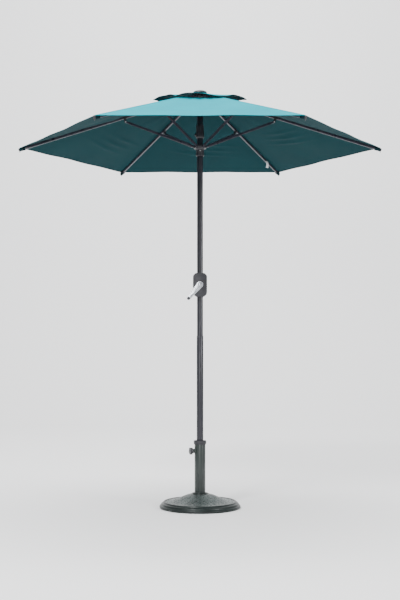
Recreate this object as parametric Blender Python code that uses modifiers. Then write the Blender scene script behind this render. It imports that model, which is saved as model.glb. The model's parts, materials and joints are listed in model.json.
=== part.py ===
"""Patio umbrella on a crank pole, standing in a weighted base.

Metres, +Z up. The pole's axis is the Z axis and the base stands on z = 0. The ribs
point to azimuths 0, 60 ... 300 degrees from +X, and the crank faces -Y. Every hinged
piece has its origin on its hinge, with its own +X along the piece.
"""

import math

import bmesh
import bpy
from mathutils import Matrix, Vector

# Gaps between pieces
TOUCH = 0.0003  # where one rests on, or grips, the other
RUNNING = 0.0006  # around what slides or turns
SEAM = 0.0005  # between neighbouring pieces of cloth

# Canopy frame
RIBS = 6
CROWN_HEIGHT = 2.460  # of the rib pins
PIN_RING = 0.032  # radius of the wire rings that ribs and struts turn on
TIP_RADIUS = 1.090  # pole's axis to the end of a rib
RIB_DROP = 0.326  # from the rib pins down to the rib ends
JOINT_RADIUS = 0.447  # pole's axis to the hinge of rib and strut
BRACKET_DROP = 0.0252  # from the rib's centre line down to that hinge
RIB_WIDTH = 0.010
RIB_DEPTH = 0.015
TUBE_WALL = 0.0012
STRUT_WIDTH = 0.009
STRUT_DEPTH = 0.013
EYE_RADIUS = 0.0060
EYE_THICKNESS = 0.0060
EYE_NECK = 0.016  # length of the flattened end
WIRE_RADIUS = 0.0015
TIP_CAP_LENGTH = 0.018
TIP_PLUG_LENGTH = 0.025
TIP_CAP_WALL = 0.0012

# Bracket that holds the strut under the rib
BRACKET_LENGTH = 0.024
CHEEK_LENGTH = 0.015
CHEEK_THICKNESS = 0.0024
RIVET_RADIUS = 0.0020
RIVET_HEAD = 0.0032
RIVET_HEAD_HEIGHT = 0.0010

# Crown and runner
HUB_RADIUS = 0.0385
HUB_HALF_HEIGHT = 0.0085
HUB_SLOT_START = 0.0250  # inner end of the six slots
CROWN_SLEEVE_LENGTH = 0.030
RUNNER_SLEEVE_LENGTH = 0.046
SLEEVE_WALL = 0.0045
RUNNER_CLEARANCE = 0.0015
RUNNER_SCREW_HEAD = 0.0042

# Cloth
CLOTH = 0.0012
CLOTH_CLEARANCE = 0.0030  # from the top of a rib to the cloth's underside
VENT_HOLE_RADIUS = 0.201  # along a rib
CLOTH_SAG = 0.012  # greatest sag between two ribs
CLOTH_TIP_GAP = 0.006
VENT_RADIUS = 0.283
VENT_INNER_RADIUS = 0.030
VENT_CORNER_RISE = 0.020  # of the vent's corners above the main cloth
VENT_ARCH = 0.016  # rise of the vent's edge between two ribs
CAP_RADIUS = 0.043
CAP_HEIGHT = 0.019
CAP_STUD_RADIUS = 0.0050

# Pole
LOWER_POLE_RADIUS = 0.0200
UPPER_POLE_RADIUS = 0.0180
POLE_WALL = 0.0014
POLE_JOINT_HEIGHT = 1.012
POLE_OVERLAP = 0.110
BEAD_HEIGHT = 0.006
FOOT_CAP_FLANGE = 0.004
FOOT_CAP_PLUG = 0.020
POLE_SIDES = 24

# Tilt button
TILT_ABOVE_RUNNER = 0.0745
TILT_SLEEVE_BELOW = 0.022
TILT_SLEEVE_ABOVE = 0.060
TILT_SLEEVE_WALL = 0.0050
BUTTON_RADIUS = 0.0065
BUTTON_BOSS_RADIUS = 0.0100
BUTTON_BOSS_LENGTH = 0.0055
BUTTON_LENGTH = 0.0090
BUTTON_TRAVEL = 0.0040

# Crank
CRANK_HEIGHT = 1.323
HOUSING_HALF_WIDTH = 0.042
HOUSING_HALF_HEIGHT = 0.0695
HOUSING_CHAMFER = 0.016
HOUSING_BOTTOM_RADIUS = 0.026
HOUSING_FRONT = 0.050
HOUSING_REAR = 0.028
HOUSING_WALL = 0.0026
HOUSING_SCREW_RADIUS = 0.0018
HOUSING_SCREW_HEAD = 0.0036
HOUSING_BOSS_RADIUS = 0.0048
HOUSING_SCREW_X = 0.0300
HOUSING_SCREW_Z = 0.0400
REEL_RADIUS = 0.0150
REEL_CORE_RADIUS = 0.0095
REEL_FLANGE = 0.0020
REEL_LENGTH = 0.0180
SHAFT_RADIUS = 0.0050
ARM_LENGTH = 0.107
ARM_LEAN = math.radians(39)  # from straight down, towards -X
ARM_THICKNESS = 0.0060
ARM_HEAD_RADIUS = 0.0190
ARM_END_RADIUS = 0.0085
GRIP_RADIUS = 0.0095
GRIP_LENGTH = 0.030
GRIP_PIN_RADIUS = 0.0030

# Base
BASE_RADIUS = 0.240
BASE_EDGE_HEIGHT = 0.016
BASE_STEP = 0.013  # width of the sloping step
BASE_RIM_HEIGHT = 0.039
BASE_RIM_WIDTH = 0.037
BASE_DOME_HEIGHT = 0.080
BASE_COLLAR_RADIUS = 0.048
BASE_COLLAR_HEIGHT = 0.090
BASE_FLOOR = 0.030  # underside of the tube
BASE_FOOT_WIDTH = 0.035  # of the outer ring that stands on the ground
BASE_HOLLOW_HEIGHT = 0.012  # of the hollow inside that ring
BASE_HUB_FOOT_RADIUS = 0.075
BASE_RECESS_RADIUS = 0.028
BASE_RECESS_DEPTH = 0.013
TUBE_RADIUS = 0.0325
TUBE_SIDE_WALL = 0.0020
TUBE_FLOOR = 0.006
BASE_HEIGHT = 0.398
REDUCER_FLANGE_RADIUS = 0.0375
REDUCER_FLANGE_HEIGHT = 0.024
REDUCER_LENGTH = 0.150
REDUCER_MOUTH_RADIUS = 0.0250
BOLT_RADIUS = 0.0050
BOLT_HEAD_RADIUS = 0.0090
BOLT_HEAD_HEIGHT = 0.0060
WASHER_RADIUS = 0.0160
WASHER_THICKNESS = 0.0020
CLAMP_HEIGHT = 0.338
CLAMP_AZIMUTH = math.radians(200)
CLAMP_SCREW_RADIUS = 0.0040
CLAMP_BOSS_RADIUS = 0.0125
CLAMP_BOSS_LENGTH = 0.012
KNOB_RADIUS = 0.0210
KNOB_THICKNESS = 0.0150
KNOB_LOBES = 5
KNOB_LOBE_DEPTH = 0.0030
KNOB_GAP = 0.0050  # between boss and knob
KNOB_BOTTOM = 0.0040  # knob material past the end of the screw

# Worked out from the sizes above
RIB_SLOPE = math.atan2(RIB_DROP, TIP_RADIUS - PIN_RING)
RIB_LENGTH = math.hypot(RIB_DROP, TIP_RADIUS - PIN_RING)
JOINT_ALONG = (JOINT_RADIUS - PIN_RING + BRACKET_DROP * math.sin(RIB_SLOPE)) / math.cos(RIB_SLOPE)
JOINT_HEIGHT = CROWN_HEIGHT - JOINT_ALONG * math.sin(RIB_SLOPE) - BRACKET_DROP * math.cos(RIB_SLOPE)
RUNNER_HEIGHT = 2 * JOINT_HEIGHT - CROWN_HEIGHT
STRUT_LENGTH = math.hypot(JOINT_RADIUS - PIN_RING, CROWN_HEIGHT - JOINT_HEIGHT)
STRUT_PITCH = -math.atan2(CROWN_HEIGHT - JOINT_HEIGHT, JOINT_RADIUS - PIN_RING)
SLOT_WIDTH = EYE_THICKNESS + 2 * TOUCH
EYE_BORE = WIRE_RADIUS + RUNNING
RIB_END = RIB_LENGTH - TIP_CAP_LENGTH
POLE_TOP = CROWN_HEIGHT - HUB_HALF_HEIGHT
CROWN_TOP = CROWN_HEIGHT + HUB_HALF_HEIGHT
VENT_TOP = CROWN_TOP + 0.006
CAP_UNDERSIDE = VENT_TOP + CLOTH + 0.001
POLE_FOOT = BASE_FLOOR + TUBE_FLOOR + TOUCH
UPPER_BORE = UPPER_POLE_RADIUS + TOUCH
TILT_HEIGHT = RUNNER_HEIGHT + TILT_ABOVE_RUNNER
CLOTH_LIFT = RIB_DEPTH / 2 + CLOTH_CLEARANCE  # from the rib's centre line
ARM_FRONT = HOUSING_FRONT + 0.0020 + ARM_THICKNESS
SHAFT_HOLE = SHAFT_RADIUS + RUNNING

# Facets round a full turn
BASE_SIDES = 36
HUB_SIDES = 24
SMALL_SIDES = 12
BORE_SIDES = 8

SCENE_NAME = "patio_umbrella"


# ---------------------------------------------------------------- shapes


def linked(data):
    """An unplaced object that holds DATA."""
    obj = bpy.data.objects.new("shape", data)
    bpy.context.scene.collection.objects.link(obj)
    return obj


def from_bmesh(bm):
    mesh = bpy.data.meshes.new("shape")
    bm.to_mesh(mesh)
    bm.free()
    return linked(mesh)


def baked(obj):
    """The object with its modifiers made part of its mesh."""
    bpy.context.view_layer.update()
    graph = bpy.context.evaluated_depsgraph_get()
    mesh = bpy.data.meshes.new_from_object(obj.evaluated_get(graph))
    if obj.type == "MESH":
        obj.modifiers.clear()
        obj.data = mesh
        return obj
    welded = bmesh.new()
    welded.from_mesh(mesh)
    bmesh.ops.remove_doubles(welded, verts=welded.verts, dist=1e-6)
    bpy.data.objects.remove(obj)
    return from_bmesh(welded)


def combined(base, other, operation):
    """BASE after a Boolean with OTHER, which is used up."""
    modifier = base.modifiers.new(operation, "BOOLEAN")
    modifier.operation = operation
    modifier.object = other
    baked(base)
    bpy.data.objects.remove(other)
    return base


def joined(base, *others):
    for other in others:
        combined(base, other, "UNION")
    return base


def cut(base, *others):
    for other in others:
        combined(base, other, "DIFFERENCE")
    return base


def cuboid(x, y, z):
    """A box, from three (low, high) pairs."""
    bm = bmesh.new()
    middle = Vector((sum(x), sum(y), sum(z))) / 2
    size = Matrix.Diagonal((x[1] - x[0], y[1] - y[0], z[1] - z[0], 1))
    bmesh.ops.create_cube(bm, size=1, matrix=Matrix.Translation(middle) @ size)
    return from_bmesh(bm)


def rod(start, end, radius, sides=SMALL_SIDES, end_radius=None):
    """A round bar, or a cone where END_RADIUS differs."""
    start, end = Vector(start), Vector(end)
    axis = end - start
    turn = axis.to_track_quat("Z", "Y").to_matrix().to_4x4()
    bm = bmesh.new()
    bmesh.ops.create_cone(
        bm,
        cap_ends=True,
        segments=sides,
        radius1=radius,
        radius2=radius if end_radius is None else end_radius,
        depth=axis.length,
        matrix=Matrix.Translation((start + end) / 2) @ turn,
    )
    return from_bmesh(bm)


def turned(profile, steps, closed=True):
    """PROFILE, as (radius, height) points down the outer side, turned about Z."""
    count = len(profile)
    edges = [(i, (i + 1) % count) for i in range(count if closed else count - 1)]
    mesh = bpy.data.meshes.new("profile")
    mesh.from_pydata([(radius, 0, height) for radius, height in profile], edges, [])
    obj = linked(mesh)
    screw = obj.modifiers.new("Screw", "SCREW")
    screw.steps = screw.render_steps = steps
    screw.use_merge_vertices = True
    screw.merge_threshold = 0.00001
    return baked(obj)


def ring_profile(inner, outer, low, high):
    return [(inner, high), (outer, high), (outer, low), (inner, low)]


def plate(points, thickness, facing):
    """A flat piece with outline POINTS, moved from the XY plane by FACING."""
    curve = bpy.data.curves.new("outline", "CURVE")
    curve.dimensions = "2D"
    curve.fill_mode = "BOTH"
    curve.extrude = thickness / 2
    spline = curve.splines.new("POLY")
    spline.points.add(len(points) - 1)
    for point, (x, y) in zip(spline.points, points):
        point.co = (x, y, 0, 1)
    spline.use_cyclic_u = True
    obj = baked(linked(curve))
    obj.data.transform(facing)
    return obj


def arc(centre, radius, start, end, steps):
    """Points on an arc from angle START to angle END."""
    angles = [start + (end - start) * i / steps for i in range(steps + 1)]
    return [(centre[0] + radius * math.cos(a), centre[1] + radius * math.sin(a)) for a in angles]


def softened(obj, width):
    """OBJ with its edges chamfered by WIDTH."""
    bevel = obj.modifiers.new("Bevel", "BEVEL")
    bevel.width = width
    bevel.segments = 1
    return baked(obj)


def wire_ring(radius, height, sides=6):
    """A round wire bent to a circle on PIN_RING."""
    profile = arc((PIN_RING, height), radius, math.pi / 2, -1.5 * math.pi, sides)[:-1]
    return turned(profile, HUB_SIDES)


# ---------------------------------------------------------------- placing


def place_matrix(radius, height, pitch, azimuth):
    """A frame at RADIUS on AZIMUTH, its +X pitched down by PITCH."""
    turn = Matrix.Rotation(azimuth, 4, "Z")
    return turn @ Matrix.Translation((radius, 0, height)) @ Matrix.Rotation(pitch, 4, "Y")


def rib_frame(index):
    return place_matrix(PIN_RING, CROWN_HEIGHT, RIB_SLOPE, index * math.tau / RIBS)


def strut_frame(index):
    return place_matrix(JOINT_RADIUS, JOINT_HEIGHT, STRUT_PITCH, index * math.tau / RIBS)


def new_material(name, colour, roughness, metallic=0.0):
    material = bpy.data.materials.new(name)
    material.use_nodes = True
    shader = material.node_tree.nodes["Principled BSDF"]
    shader.inputs["Base Color"].default_value = (*colour, 1)
    shader.inputs["Roughness"].default_value = roughness
    shader.inputs["Metallic"].default_value = metallic
    material.diffuse_color = (*colour, 1)
    return material


def finish(obj, name, material, frame=None):
    """Names OBJ, gives it its material and origin, and puts it with the parts.

    OBJ is drawn in world coordinates, or, where FRAME is given, in those of FRAME.
    """
    obj.name = name
    obj.data.name = name
    obj.data.materials.clear()
    obj.data.materials.append(material)
    obj.data.shade_smooth()
    obj.data.set_sharp_from_angle(angle=math.radians(30))
    obj.matrix_world = frame or Matrix.Identity(4)
    bpy.context.scene.collection.objects.unlink(obj)
    bpy.data.collections[SCENE_NAME].objects.link(obj)
    return obj


def repeated(obj, name, material, frame_of):
    """One object for each rib, all with OBJ's mesh."""
    finish(obj, f"{name}_1", material, frame_of(0))
    for index in range(1, RIBS):
        copy = bpy.data.objects.new(f"{name}_{index + 1}", obj.data)
        copy.matrix_world = frame_of(index)
        bpy.data.collections[SCENE_NAME].objects.link(copy)


# ---------------------------------------------------------------- base


def base_dome_profile():
    """The top of the base, from the collar out to the rim."""
    inner, outer = BASE_COLLAR_RADIUS, BASE_RADIUS - BASE_RIM_WIDTH
    steps = 5
    points = []
    for i in range(steps + 1):
        share = i / steps
        fall = 0.5 - 0.5 * math.cos(math.pi * share**0.85)
        height = BASE_DOME_HEIGHT + (BASE_RIM_HEIGHT - 0.002 - BASE_DOME_HEIGHT) * fall
        points.append((inner + (outer - inner) * share, height))
    return points


def base_plate(material):
    socket = TUBE_RADIUS + TOUCH
    rim_inner = BASE_RADIUS - BASE_RIM_WIDTH
    profile = [
        (socket, BASE_COLLAR_HEIGHT),
        (BASE_COLLAR_RADIUS - 0.004, BASE_COLLAR_HEIGHT),
        (BASE_COLLAR_RADIUS, BASE_COLLAR_HEIGHT - 0.004),
        *base_dome_profile(),
        (rim_inner + 0.002, BASE_RIM_HEIGHT),
        (BASE_RADIUS - 2 * BASE_STEP, BASE_RIM_HEIGHT),
        (BASE_RADIUS - BASE_STEP, (BASE_RIM_HEIGHT + BASE_EDGE_HEIGHT) / 2),
        (BASE_RADIUS - 0.006, BASE_EDGE_HEIGHT + 0.003),
        (BASE_RADIUS, BASE_EDGE_HEIGHT - 0.003),
        (BASE_RADIUS, 0.003),
        (BASE_RADIUS - 0.003, 0.0),
        (BASE_RADIUS - BASE_FOOT_WIDTH, 0.0),
        (BASE_RADIUS - BASE_FOOT_WIDTH - 0.004, BASE_HOLLOW_HEIGHT),
        (BASE_HUB_FOOT_RADIUS + 0.004, BASE_HOLLOW_HEIGHT),
        (BASE_HUB_FOOT_RADIUS, 0.0),
        (BASE_RECESS_RADIUS, 0.0),
        (BASE_RECESS_RADIUS, BASE_RECESS_DEPTH),
        (BOLT_RADIUS + TOUCH, BASE_RECESS_DEPTH),
        (BOLT_RADIUS + TOUCH, BASE_FLOOR - TOUCH),
        (socket, BASE_FLOOR - TOUCH),
    ]
    finish(turned(profile, BASE_SIDES), "base_plate", material)


def clamp_frame():
    """A frame on the clamp screw's axis, with +X pointing out of the tube."""
    turn = Matrix.Rotation(CLAMP_AZIMUTH, 4, "Z")
    return turn @ Matrix.Translation((0, 0, CLAMP_HEIGHT))


def along_clamp(obj):
    obj.data.transform(clamp_frame())
    return obj


def base_tube(material):
    """The upright tube, with a floor for the bolt and a boss for the clamp screw."""
    bore = TUBE_RADIUS - TUBE_SIDE_WALL
    top = BASE_HEIGHT - REDUCER_FLANGE_HEIGHT
    profile = [
        (bore, top),
        (TUBE_RADIUS, top),
        (TUBE_RADIUS, BASE_FLOOR),
        (BOLT_RADIUS + TOUCH, BASE_FLOOR),
        (BOLT_RADIUS + TOUCH, BASE_FLOOR + TUBE_FLOOR),
        (bore, BASE_FLOOR + TUBE_FLOOR),
    ]
    tube = turned(profile, POLE_SIDES)
    boss_end = TUBE_RADIUS + CLAMP_BOSS_LENGTH
    boss = along_clamp(rod((bore + 0.0005, 0, 0), (boss_end, 0, 0), CLAMP_BOSS_RADIUS, 16))
    hole = along_clamp(rod((0, 0, 0), (boss_end + 0.01, 0, 0), CLAMP_SCREW_RADIUS + TOUCH))
    finish(cut(joined(tube, boss), hole), "base_tube", material)


def pole_reducer(material):
    """The plastic collar in the top of the tube, which centres the pole."""
    sleeve = TUBE_RADIUS - TUBE_SIDE_WALL - TOUCH
    bore = LOWER_POLE_RADIUS + RUNNING
    seat = BASE_HEIGHT - REDUCER_FLANGE_HEIGHT + TOUCH
    profile = [
        (REDUCER_MOUTH_RADIUS, BASE_HEIGHT),
        (REDUCER_FLANGE_RADIUS - 0.002, BASE_HEIGHT),
        (REDUCER_FLANGE_RADIUS, BASE_HEIGHT - 0.002),
        (REDUCER_FLANGE_RADIUS, seat),
        (sleeve, seat),
        (sleeve, BASE_HEIGHT - REDUCER_LENGTH),
        (bore, BASE_HEIGHT - REDUCER_LENGTH),
        (bore, BASE_HEIGHT - 0.008),
    ]
    reducer = turned(profile, POLE_SIDES)
    hole = along_clamp(rod((0, 0, 0), (TUBE_RADIUS, 0, 0), CLAMP_SCREW_RADIUS + RUNNING))
    finish(cut(reducer, hole), "pole_reducer", material)


def tube_bolt(material):
    """The bolt that pulls the tube down on the base, with its washer."""
    head_top = BASE_RECESS_DEPTH - WASHER_THICKNESS - 2 * TOUCH
    end = BASE_FLOOR + TUBE_FLOOR - 0.001
    bolt = joined(
        rod((0, 0, head_top - BOLT_HEAD_HEIGHT), (0, 0, head_top), BOLT_HEAD_RADIUS, 6),
        rod((0, 0, head_top - 0.001), (0, 0, end), BOLT_RADIUS, 16),
    )
    finish(bolt, "tube_bolt", material)
    low = head_top + TOUCH
    washer = ring_profile(BOLT_RADIUS + TOUCH, WASHER_RADIUS, low, low + WASHER_THICKNESS)
    finish(turned(washer, 16), "tube_washer", material)


def clamp(metal, plastic):
    """The screw that grips the pole, and its lobed knob."""
    tip = LOWER_POLE_RADIUS + TOUCH
    knob_near = TUBE_RADIUS + CLAMP_BOSS_LENGTH + KNOB_GAP
    knob_far = knob_near + KNOB_THICKNESS
    end = knob_far - KNOB_BOTTOM
    screw = joined(
        rod((tip + 0.0015, 0, 0), (end, 0, 0), CLAMP_SCREW_RADIUS),
        rod((tip, 0, 0), (tip + 0.002, 0, 0), CLAMP_SCREW_RADIUS - 0.001, end_radius=CLAMP_SCREW_RADIUS),
    )
    finish(screw, "clamp_screw", metal, clamp_frame())

    steps = 8 * KNOB_LOBES
    outline = []
    for i in range(steps):
        angle = math.tau * i / steps
        radius = KNOB_RADIUS - KNOB_LOBE_DEPTH * (0.5 - 0.5 * math.cos(KNOB_LOBES * angle))
        outline.append((radius * math.cos(angle), radius * math.sin(angle)))
    across = Matrix.Rotation(math.pi / 2, 4, "Y")
    lobes = plate(outline, KNOB_THICKNESS, Matrix.Translation(((knob_near + knob_far) / 2, 0, 0)) @ across)
    bore = rod((knob_near - 0.01, 0, 0), (end + TOUCH, 0, 0), CLAMP_SCREW_RADIUS + TOUCH)
    finish(cut(softened(lobes, 0.0015), bore), "clamp_knob", plastic, clamp_frame())


# ---------------------------------------------------------------- pole


def lower_pole(metal, plastic):
    foot = POLE_FOOT + FOOT_CAP_FLANGE
    bore = LOWER_POLE_RADIUS - POLE_WALL
    tube = ring_profile(bore, LOWER_POLE_RADIUS, foot + TOUCH, POLE_JOINT_HEIGHT)
    finish(turned(tube, POLE_SIDES), "lower_pole", metal)
    profile = [
        (0, foot + FOOT_CAP_PLUG),
        (bore - TOUCH, foot + FOOT_CAP_PLUG),
        (bore - TOUCH, foot),
        (LOWER_POLE_RADIUS, foot),
        (LOWER_POLE_RADIUS, POLE_FOOT),
        (0, POLE_FOOT),
    ]
    finish(turned(profile, POLE_SIDES, closed=False), "pole_foot_cap", plastic)


def upper_pole(metal):
    """The upper tube, with the bead that stops it in the lower one."""
    bore = UPPER_POLE_RADIUS - POLE_WALL
    bead = POLE_JOINT_HEIGHT + TOUCH
    profile = [
        (bore, POLE_TOP - TOUCH),
        (UPPER_POLE_RADIUS, POLE_TOP - TOUCH),
        (UPPER_POLE_RADIUS, bead + BEAD_HEIGHT),
        (LOWER_POLE_RADIUS, bead + BEAD_HEIGHT - 0.002),
        (LOWER_POLE_RADIUS, bead),
        (UPPER_POLE_RADIUS, bead),
        (UPPER_POLE_RADIUS, POLE_JOINT_HEIGHT - POLE_OVERLAP),
        (bore, POLE_JOINT_HEIGHT - POLE_OVERLAP),
    ]
    finish(turned(profile, POLE_SIDES), "upper_pole", metal)


def tilt_sleeve(material):
    """The sleeve of the tilt knuckle, with the pocket for its push button."""
    wall = UPPER_POLE_RADIUS + TILT_SLEEVE_WALL
    low, high = TILT_HEIGHT - TILT_SLEEVE_BELOW, TILT_HEIGHT + TILT_SLEEVE_ABOVE
    profile = [
        (UPPER_BORE, high),
        (wall - 0.002, high),
        (wall, high - 0.004),
        (wall, low + 0.004),
        (wall - 0.002, low),
        (UPPER_BORE, low),
    ]
    sleeve = turned(profile, POLE_SIDES)
    face = -(wall + BUTTON_BOSS_LENGTH)
    inside = -(UPPER_POLE_RADIUS + TILT_SLEEVE_WALL / 2)
    boss = rod((inside, 0, TILT_HEIGHT), (face, 0, TILT_HEIGHT), BUTTON_BOSS_RADIUS, 16)
    within, beyond = (-UPPER_POLE_RADIUS / 2, 0, TILT_HEIGHT), (face - 0.01, 0, TILT_HEIGHT)
    pocket = rod(within, beyond, BUTTON_RADIUS + TOUCH, 16)
    finish(cut(joined(sleeve, boss), pocket), "tilt_sleeve", material)


def tilt_button(material):
    face = -(UPPER_POLE_RADIUS + TILT_SLEEVE_WALL + BUTTON_BOSS_LENGTH + BUTTON_TRAVEL)
    button = softened(rod((0, 0, 0), (-BUTTON_LENGTH, 0, 0), BUTTON_RADIUS, 16), 0.0006)
    frame = Matrix.Translation((face + BUTTON_LENGTH, 0, TILT_HEIGHT))
    finish(button, "tilt_button", material, frame)


# ---------------------------------------------------------------- crank


def housing_outline(inset):
    """The crank housing's outline in X and Z: cut corners above, round below."""
    half, high = HOUSING_HALF_WIDTH - inset, HOUSING_HALF_HEIGHT - inset
    chamfer = HOUSING_CHAMFER - inset * math.tan(math.pi / 8)
    radius = HOUSING_BOTTOM_RADIUS - inset
    return [
        (half, high - chamfer),
        (half - chamfer, high),
        (-(half - chamfer), high),
        (-half, high - chamfer),
        *arc((-(half - radius), -(high - radius)), radius, math.pi, 1.5 * math.pi, 6),
        *arc((half - radius, -(high - radius)), radius, 1.5 * math.pi, math.tau, 6),
    ]


def housing_block(inset, near, far):
    """The outline, INSET inwards, filled from y = NEAR to y = FAR."""
    facing = Matrix.Translation((0, (near + far) / 2, CRANK_HEIGHT)) @ Matrix.Rotation(math.pi / 2, 4, "X")
    return plate(housing_outline(inset), far - near, facing)


def housing_screw_spots():
    above, below = CRANK_HEIGHT + HOUSING_SCREW_Z, CRANK_HEIGHT - HOUSING_SCREW_Z
    return [(-HOUSING_SCREW_X, above), (HOUSING_SCREW_X, below)]


def crank_housing(material, metal):
    """The two half shells that grip the pole, and the screws between them."""
    pole = POLE_JOINT_HEIGHT, CROWN_HEIGHT
    split = TOUCH / 2
    inner = HOUSING_WALL - 0.0005
    front = cut(
        softened(housing_block(0, -HOUSING_FRONT, -split), 0.0015),
        housing_block(HOUSING_WALL, HOUSING_WALL - HOUSING_FRONT, 0.01),
    )
    rear = cut(
        softened(housing_block(0, split, HOUSING_REAR), 0.0015),
        housing_block(HOUSING_WALL, -0.01, HOUSING_REAR - HOUSING_WALL),
    )
    for x, z in housing_screw_spots():
        joined(front, rod((x, -split, z), (x, inner - HOUSING_FRONT, z), HOUSING_BOSS_RADIUS, BORE_SIDES))
        joined(rear, rod((x, split, z), (x, HOUSING_REAR - inner, z), HOUSING_BOSS_RADIUS, BORE_SIDES))
        cut(front, rod((x, 0.01, z), (x, -0.5 * HOUSING_FRONT, z), HOUSING_SCREW_RADIUS + TOUCH, BORE_SIDES))
        cut(rear, rod((x, -0.01, z), (x, HOUSING_REAR + 0.01, z), HOUSING_SCREW_RADIUS + TOUCH, BORE_SIDES))
    for shell in front, rear:
        cut(shell, rod((0, 0, pole[0]), (0, 0, pole[1]), UPPER_BORE, POLE_SIDES))
    cut(front, rod((0, 0, CRANK_HEIGHT), (0, -HOUSING_FRONT - 0.01, CRANK_HEIGHT), SHAFT_HOLE, 16))
    finish(front, "crank_housing_front", material)
    finish(rear, "crank_housing_rear", material)
    for number, (x, z) in enumerate(housing_screw_spots(), 1):
        head = HOUSING_REAR + TOUCH
        screw = joined(
            rod((x, head + 0.002, z), (x, head, z), HOUSING_SCREW_HEAD - 0.001, 12, HOUSING_SCREW_HEAD),
            rod((x, head + 0.001, z), (x, 0.002 - 0.5 * HOUSING_FRONT, z), HOUSING_SCREW_RADIUS, BORE_SIDES),
        )
        finish(screw, f"housing_screw_{number}", metal)


def reel_profile():
    """The cord reel and its shaft, from the pole out to the crank arm."""
    near = UPPER_POLE_RADIUS + 0.0035
    far = near + REEL_LENGTH
    return [
        (0, ARM_FRONT - 0.001),
        (SHAFT_RADIUS, ARM_FRONT - 0.001),
        (SHAFT_RADIUS, far),
        (REEL_RADIUS, far),
        (REEL_RADIUS, far - REEL_FLANGE),
        (REEL_CORE_RADIUS, far - REEL_FLANGE),
        (REEL_CORE_RADIUS, near + REEL_FLANGE),
        (REEL_RADIUS, near + REEL_FLANGE),
        (REEL_RADIUS, near),
        (0, near),
    ]


def crank(metal, plastic):
    """The arm, its reel and its grip, each drawn with +Z out of the housing."""
    outwards = Matrix.Translation((0, 0, CRANK_HEIGHT)) @ Matrix.Rotation(math.pi / 2, 4, "X")
    finish(turned(reel_profile(), 16, closed=False), "cord_reel", metal, outwards)

    lean = -math.pi / 2 - ARM_LEAN
    end = Vector((ARM_LENGTH * math.cos(lean), ARM_LENGTH * math.sin(lean)))
    flank = math.acos((ARM_HEAD_RADIUS - ARM_END_RADIUS) / ARM_LENGTH)
    outline = [
        *arc((0, 0), ARM_HEAD_RADIUS, lean + flank, lean + math.tau - flank, 14),
        *arc(end, ARM_END_RADIUS, lean - flank, lean + flank, 8),
    ]
    middle = ARM_FRONT - ARM_THICKNESS / 2
    arm = softened(plate(outline, ARM_THICKNESS, Matrix.Translation((0, 0, middle))), 0.0012)
    cap = rod((0, 0, ARM_FRONT - 0.001), (0, 0, ARM_FRONT + 0.006), 0.015, 20, 0.011)
    bore = rod((0, 0, 0), (0, 0, ARM_FRONT - 0.001 + TOUCH), SHAFT_RADIUS + TOUCH, 16)
    pin_end = ARM_FRONT + GRIP_LENGTH - 0.004
    pin = rod((*end, ARM_FRONT - 0.001), (*end, pin_end), GRIP_PIN_RADIUS)
    finish(cut(joined(arm, cap, pin), bore), "crank_arm", metal, outwards)

    low, high = TOUCH, GRIP_LENGTH
    profile = [
        (0, high),
        (GRIP_RADIUS - 0.004, high),
        (GRIP_RADIUS - 0.001, high - 0.002),
        (GRIP_RADIUS, high - 0.008),
        (GRIP_RADIUS - 0.0025, low + 0.006),
        (GRIP_RADIUS - 0.0015, low),
        (GRIP_PIN_RADIUS + TOUCH, low),
        (GRIP_PIN_RADIUS + TOUCH, GRIP_LENGTH - 0.004 + TOUCH),
        (0, GRIP_LENGTH - 0.004 + TOUCH),
    ]
    grip_frame = outwards @ Matrix.Translation((*end, ARM_FRONT))
    finish(turned(profile, 16, closed=False), "crank_grip", plastic, grip_frame)


# ---------------------------------------------------------------- crown and runner


def slotted(hub, height):
    """HUB with a slot for each rib or strut, and a channel for its wire ring."""
    for index in range(RIBS):
        slot = cuboid(
            (HUB_SLOT_START, HUB_RADIUS + 0.01),
            (-SLOT_WIDTH / 2, SLOT_WIDTH / 2),
            (-HUB_HALF_HEIGHT - 0.002, HUB_HALF_HEIGHT + 0.002),
        )
        slot.data.transform(place_matrix(0, height, 0, index * math.tau / RIBS))
        cut(hub, slot)
    return cut(hub, wire_ring(WIRE_RADIUS + TOUCH, height))


def crown(plastic, metal):
    """The hub on the pole's end, which the ribs hang on."""
    low = CROWN_HEIGHT - HUB_HALF_HEIGHT
    sleeve = UPPER_BORE + SLEEVE_WALL
    hole = CAP_STUD_RADIUS + TOUCH
    profile = [
        (hole, CROWN_TOP),
        (HUB_RADIUS, CROWN_TOP),
        (HUB_RADIUS, low),
        (sleeve, low),
        (sleeve, low - CROWN_SLEEVE_LENGTH),
        (UPPER_BORE, low - CROWN_SLEEVE_LENGTH),
        (UPPER_BORE, POLE_TOP),
        (hole, POLE_TOP),
    ]
    finish(slotted(turned(profile, HUB_SIDES), CROWN_HEIGHT), "crown", plastic)
    finish(wire_ring(WIRE_RADIUS, CROWN_HEIGHT), "crown_wire", metal)


def top_cap(material):
    """The shallow dome over the vent, with its stud in the crown."""
    steps = 5
    dome = []
    for i in range(steps + 1):
        angle = math.pi / 2 * i / steps
        rise = (CAP_HEIGHT - 0.003) * math.cos(angle)
        dome.append((CAP_RADIUS * math.sin(angle), CAP_UNDERSIDE + 0.003 + rise))
    profile = [
        *dome,
        (CAP_RADIUS, CAP_UNDERSIDE),
        (CAP_STUD_RADIUS, CAP_UNDERSIDE),
        (CAP_STUD_RADIUS, POLE_TOP - 0.004),
        (0, POLE_TOP - 0.004),
    ]
    finish(turned(profile, HUB_SIDES, closed=False), "top_cap", material)


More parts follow.
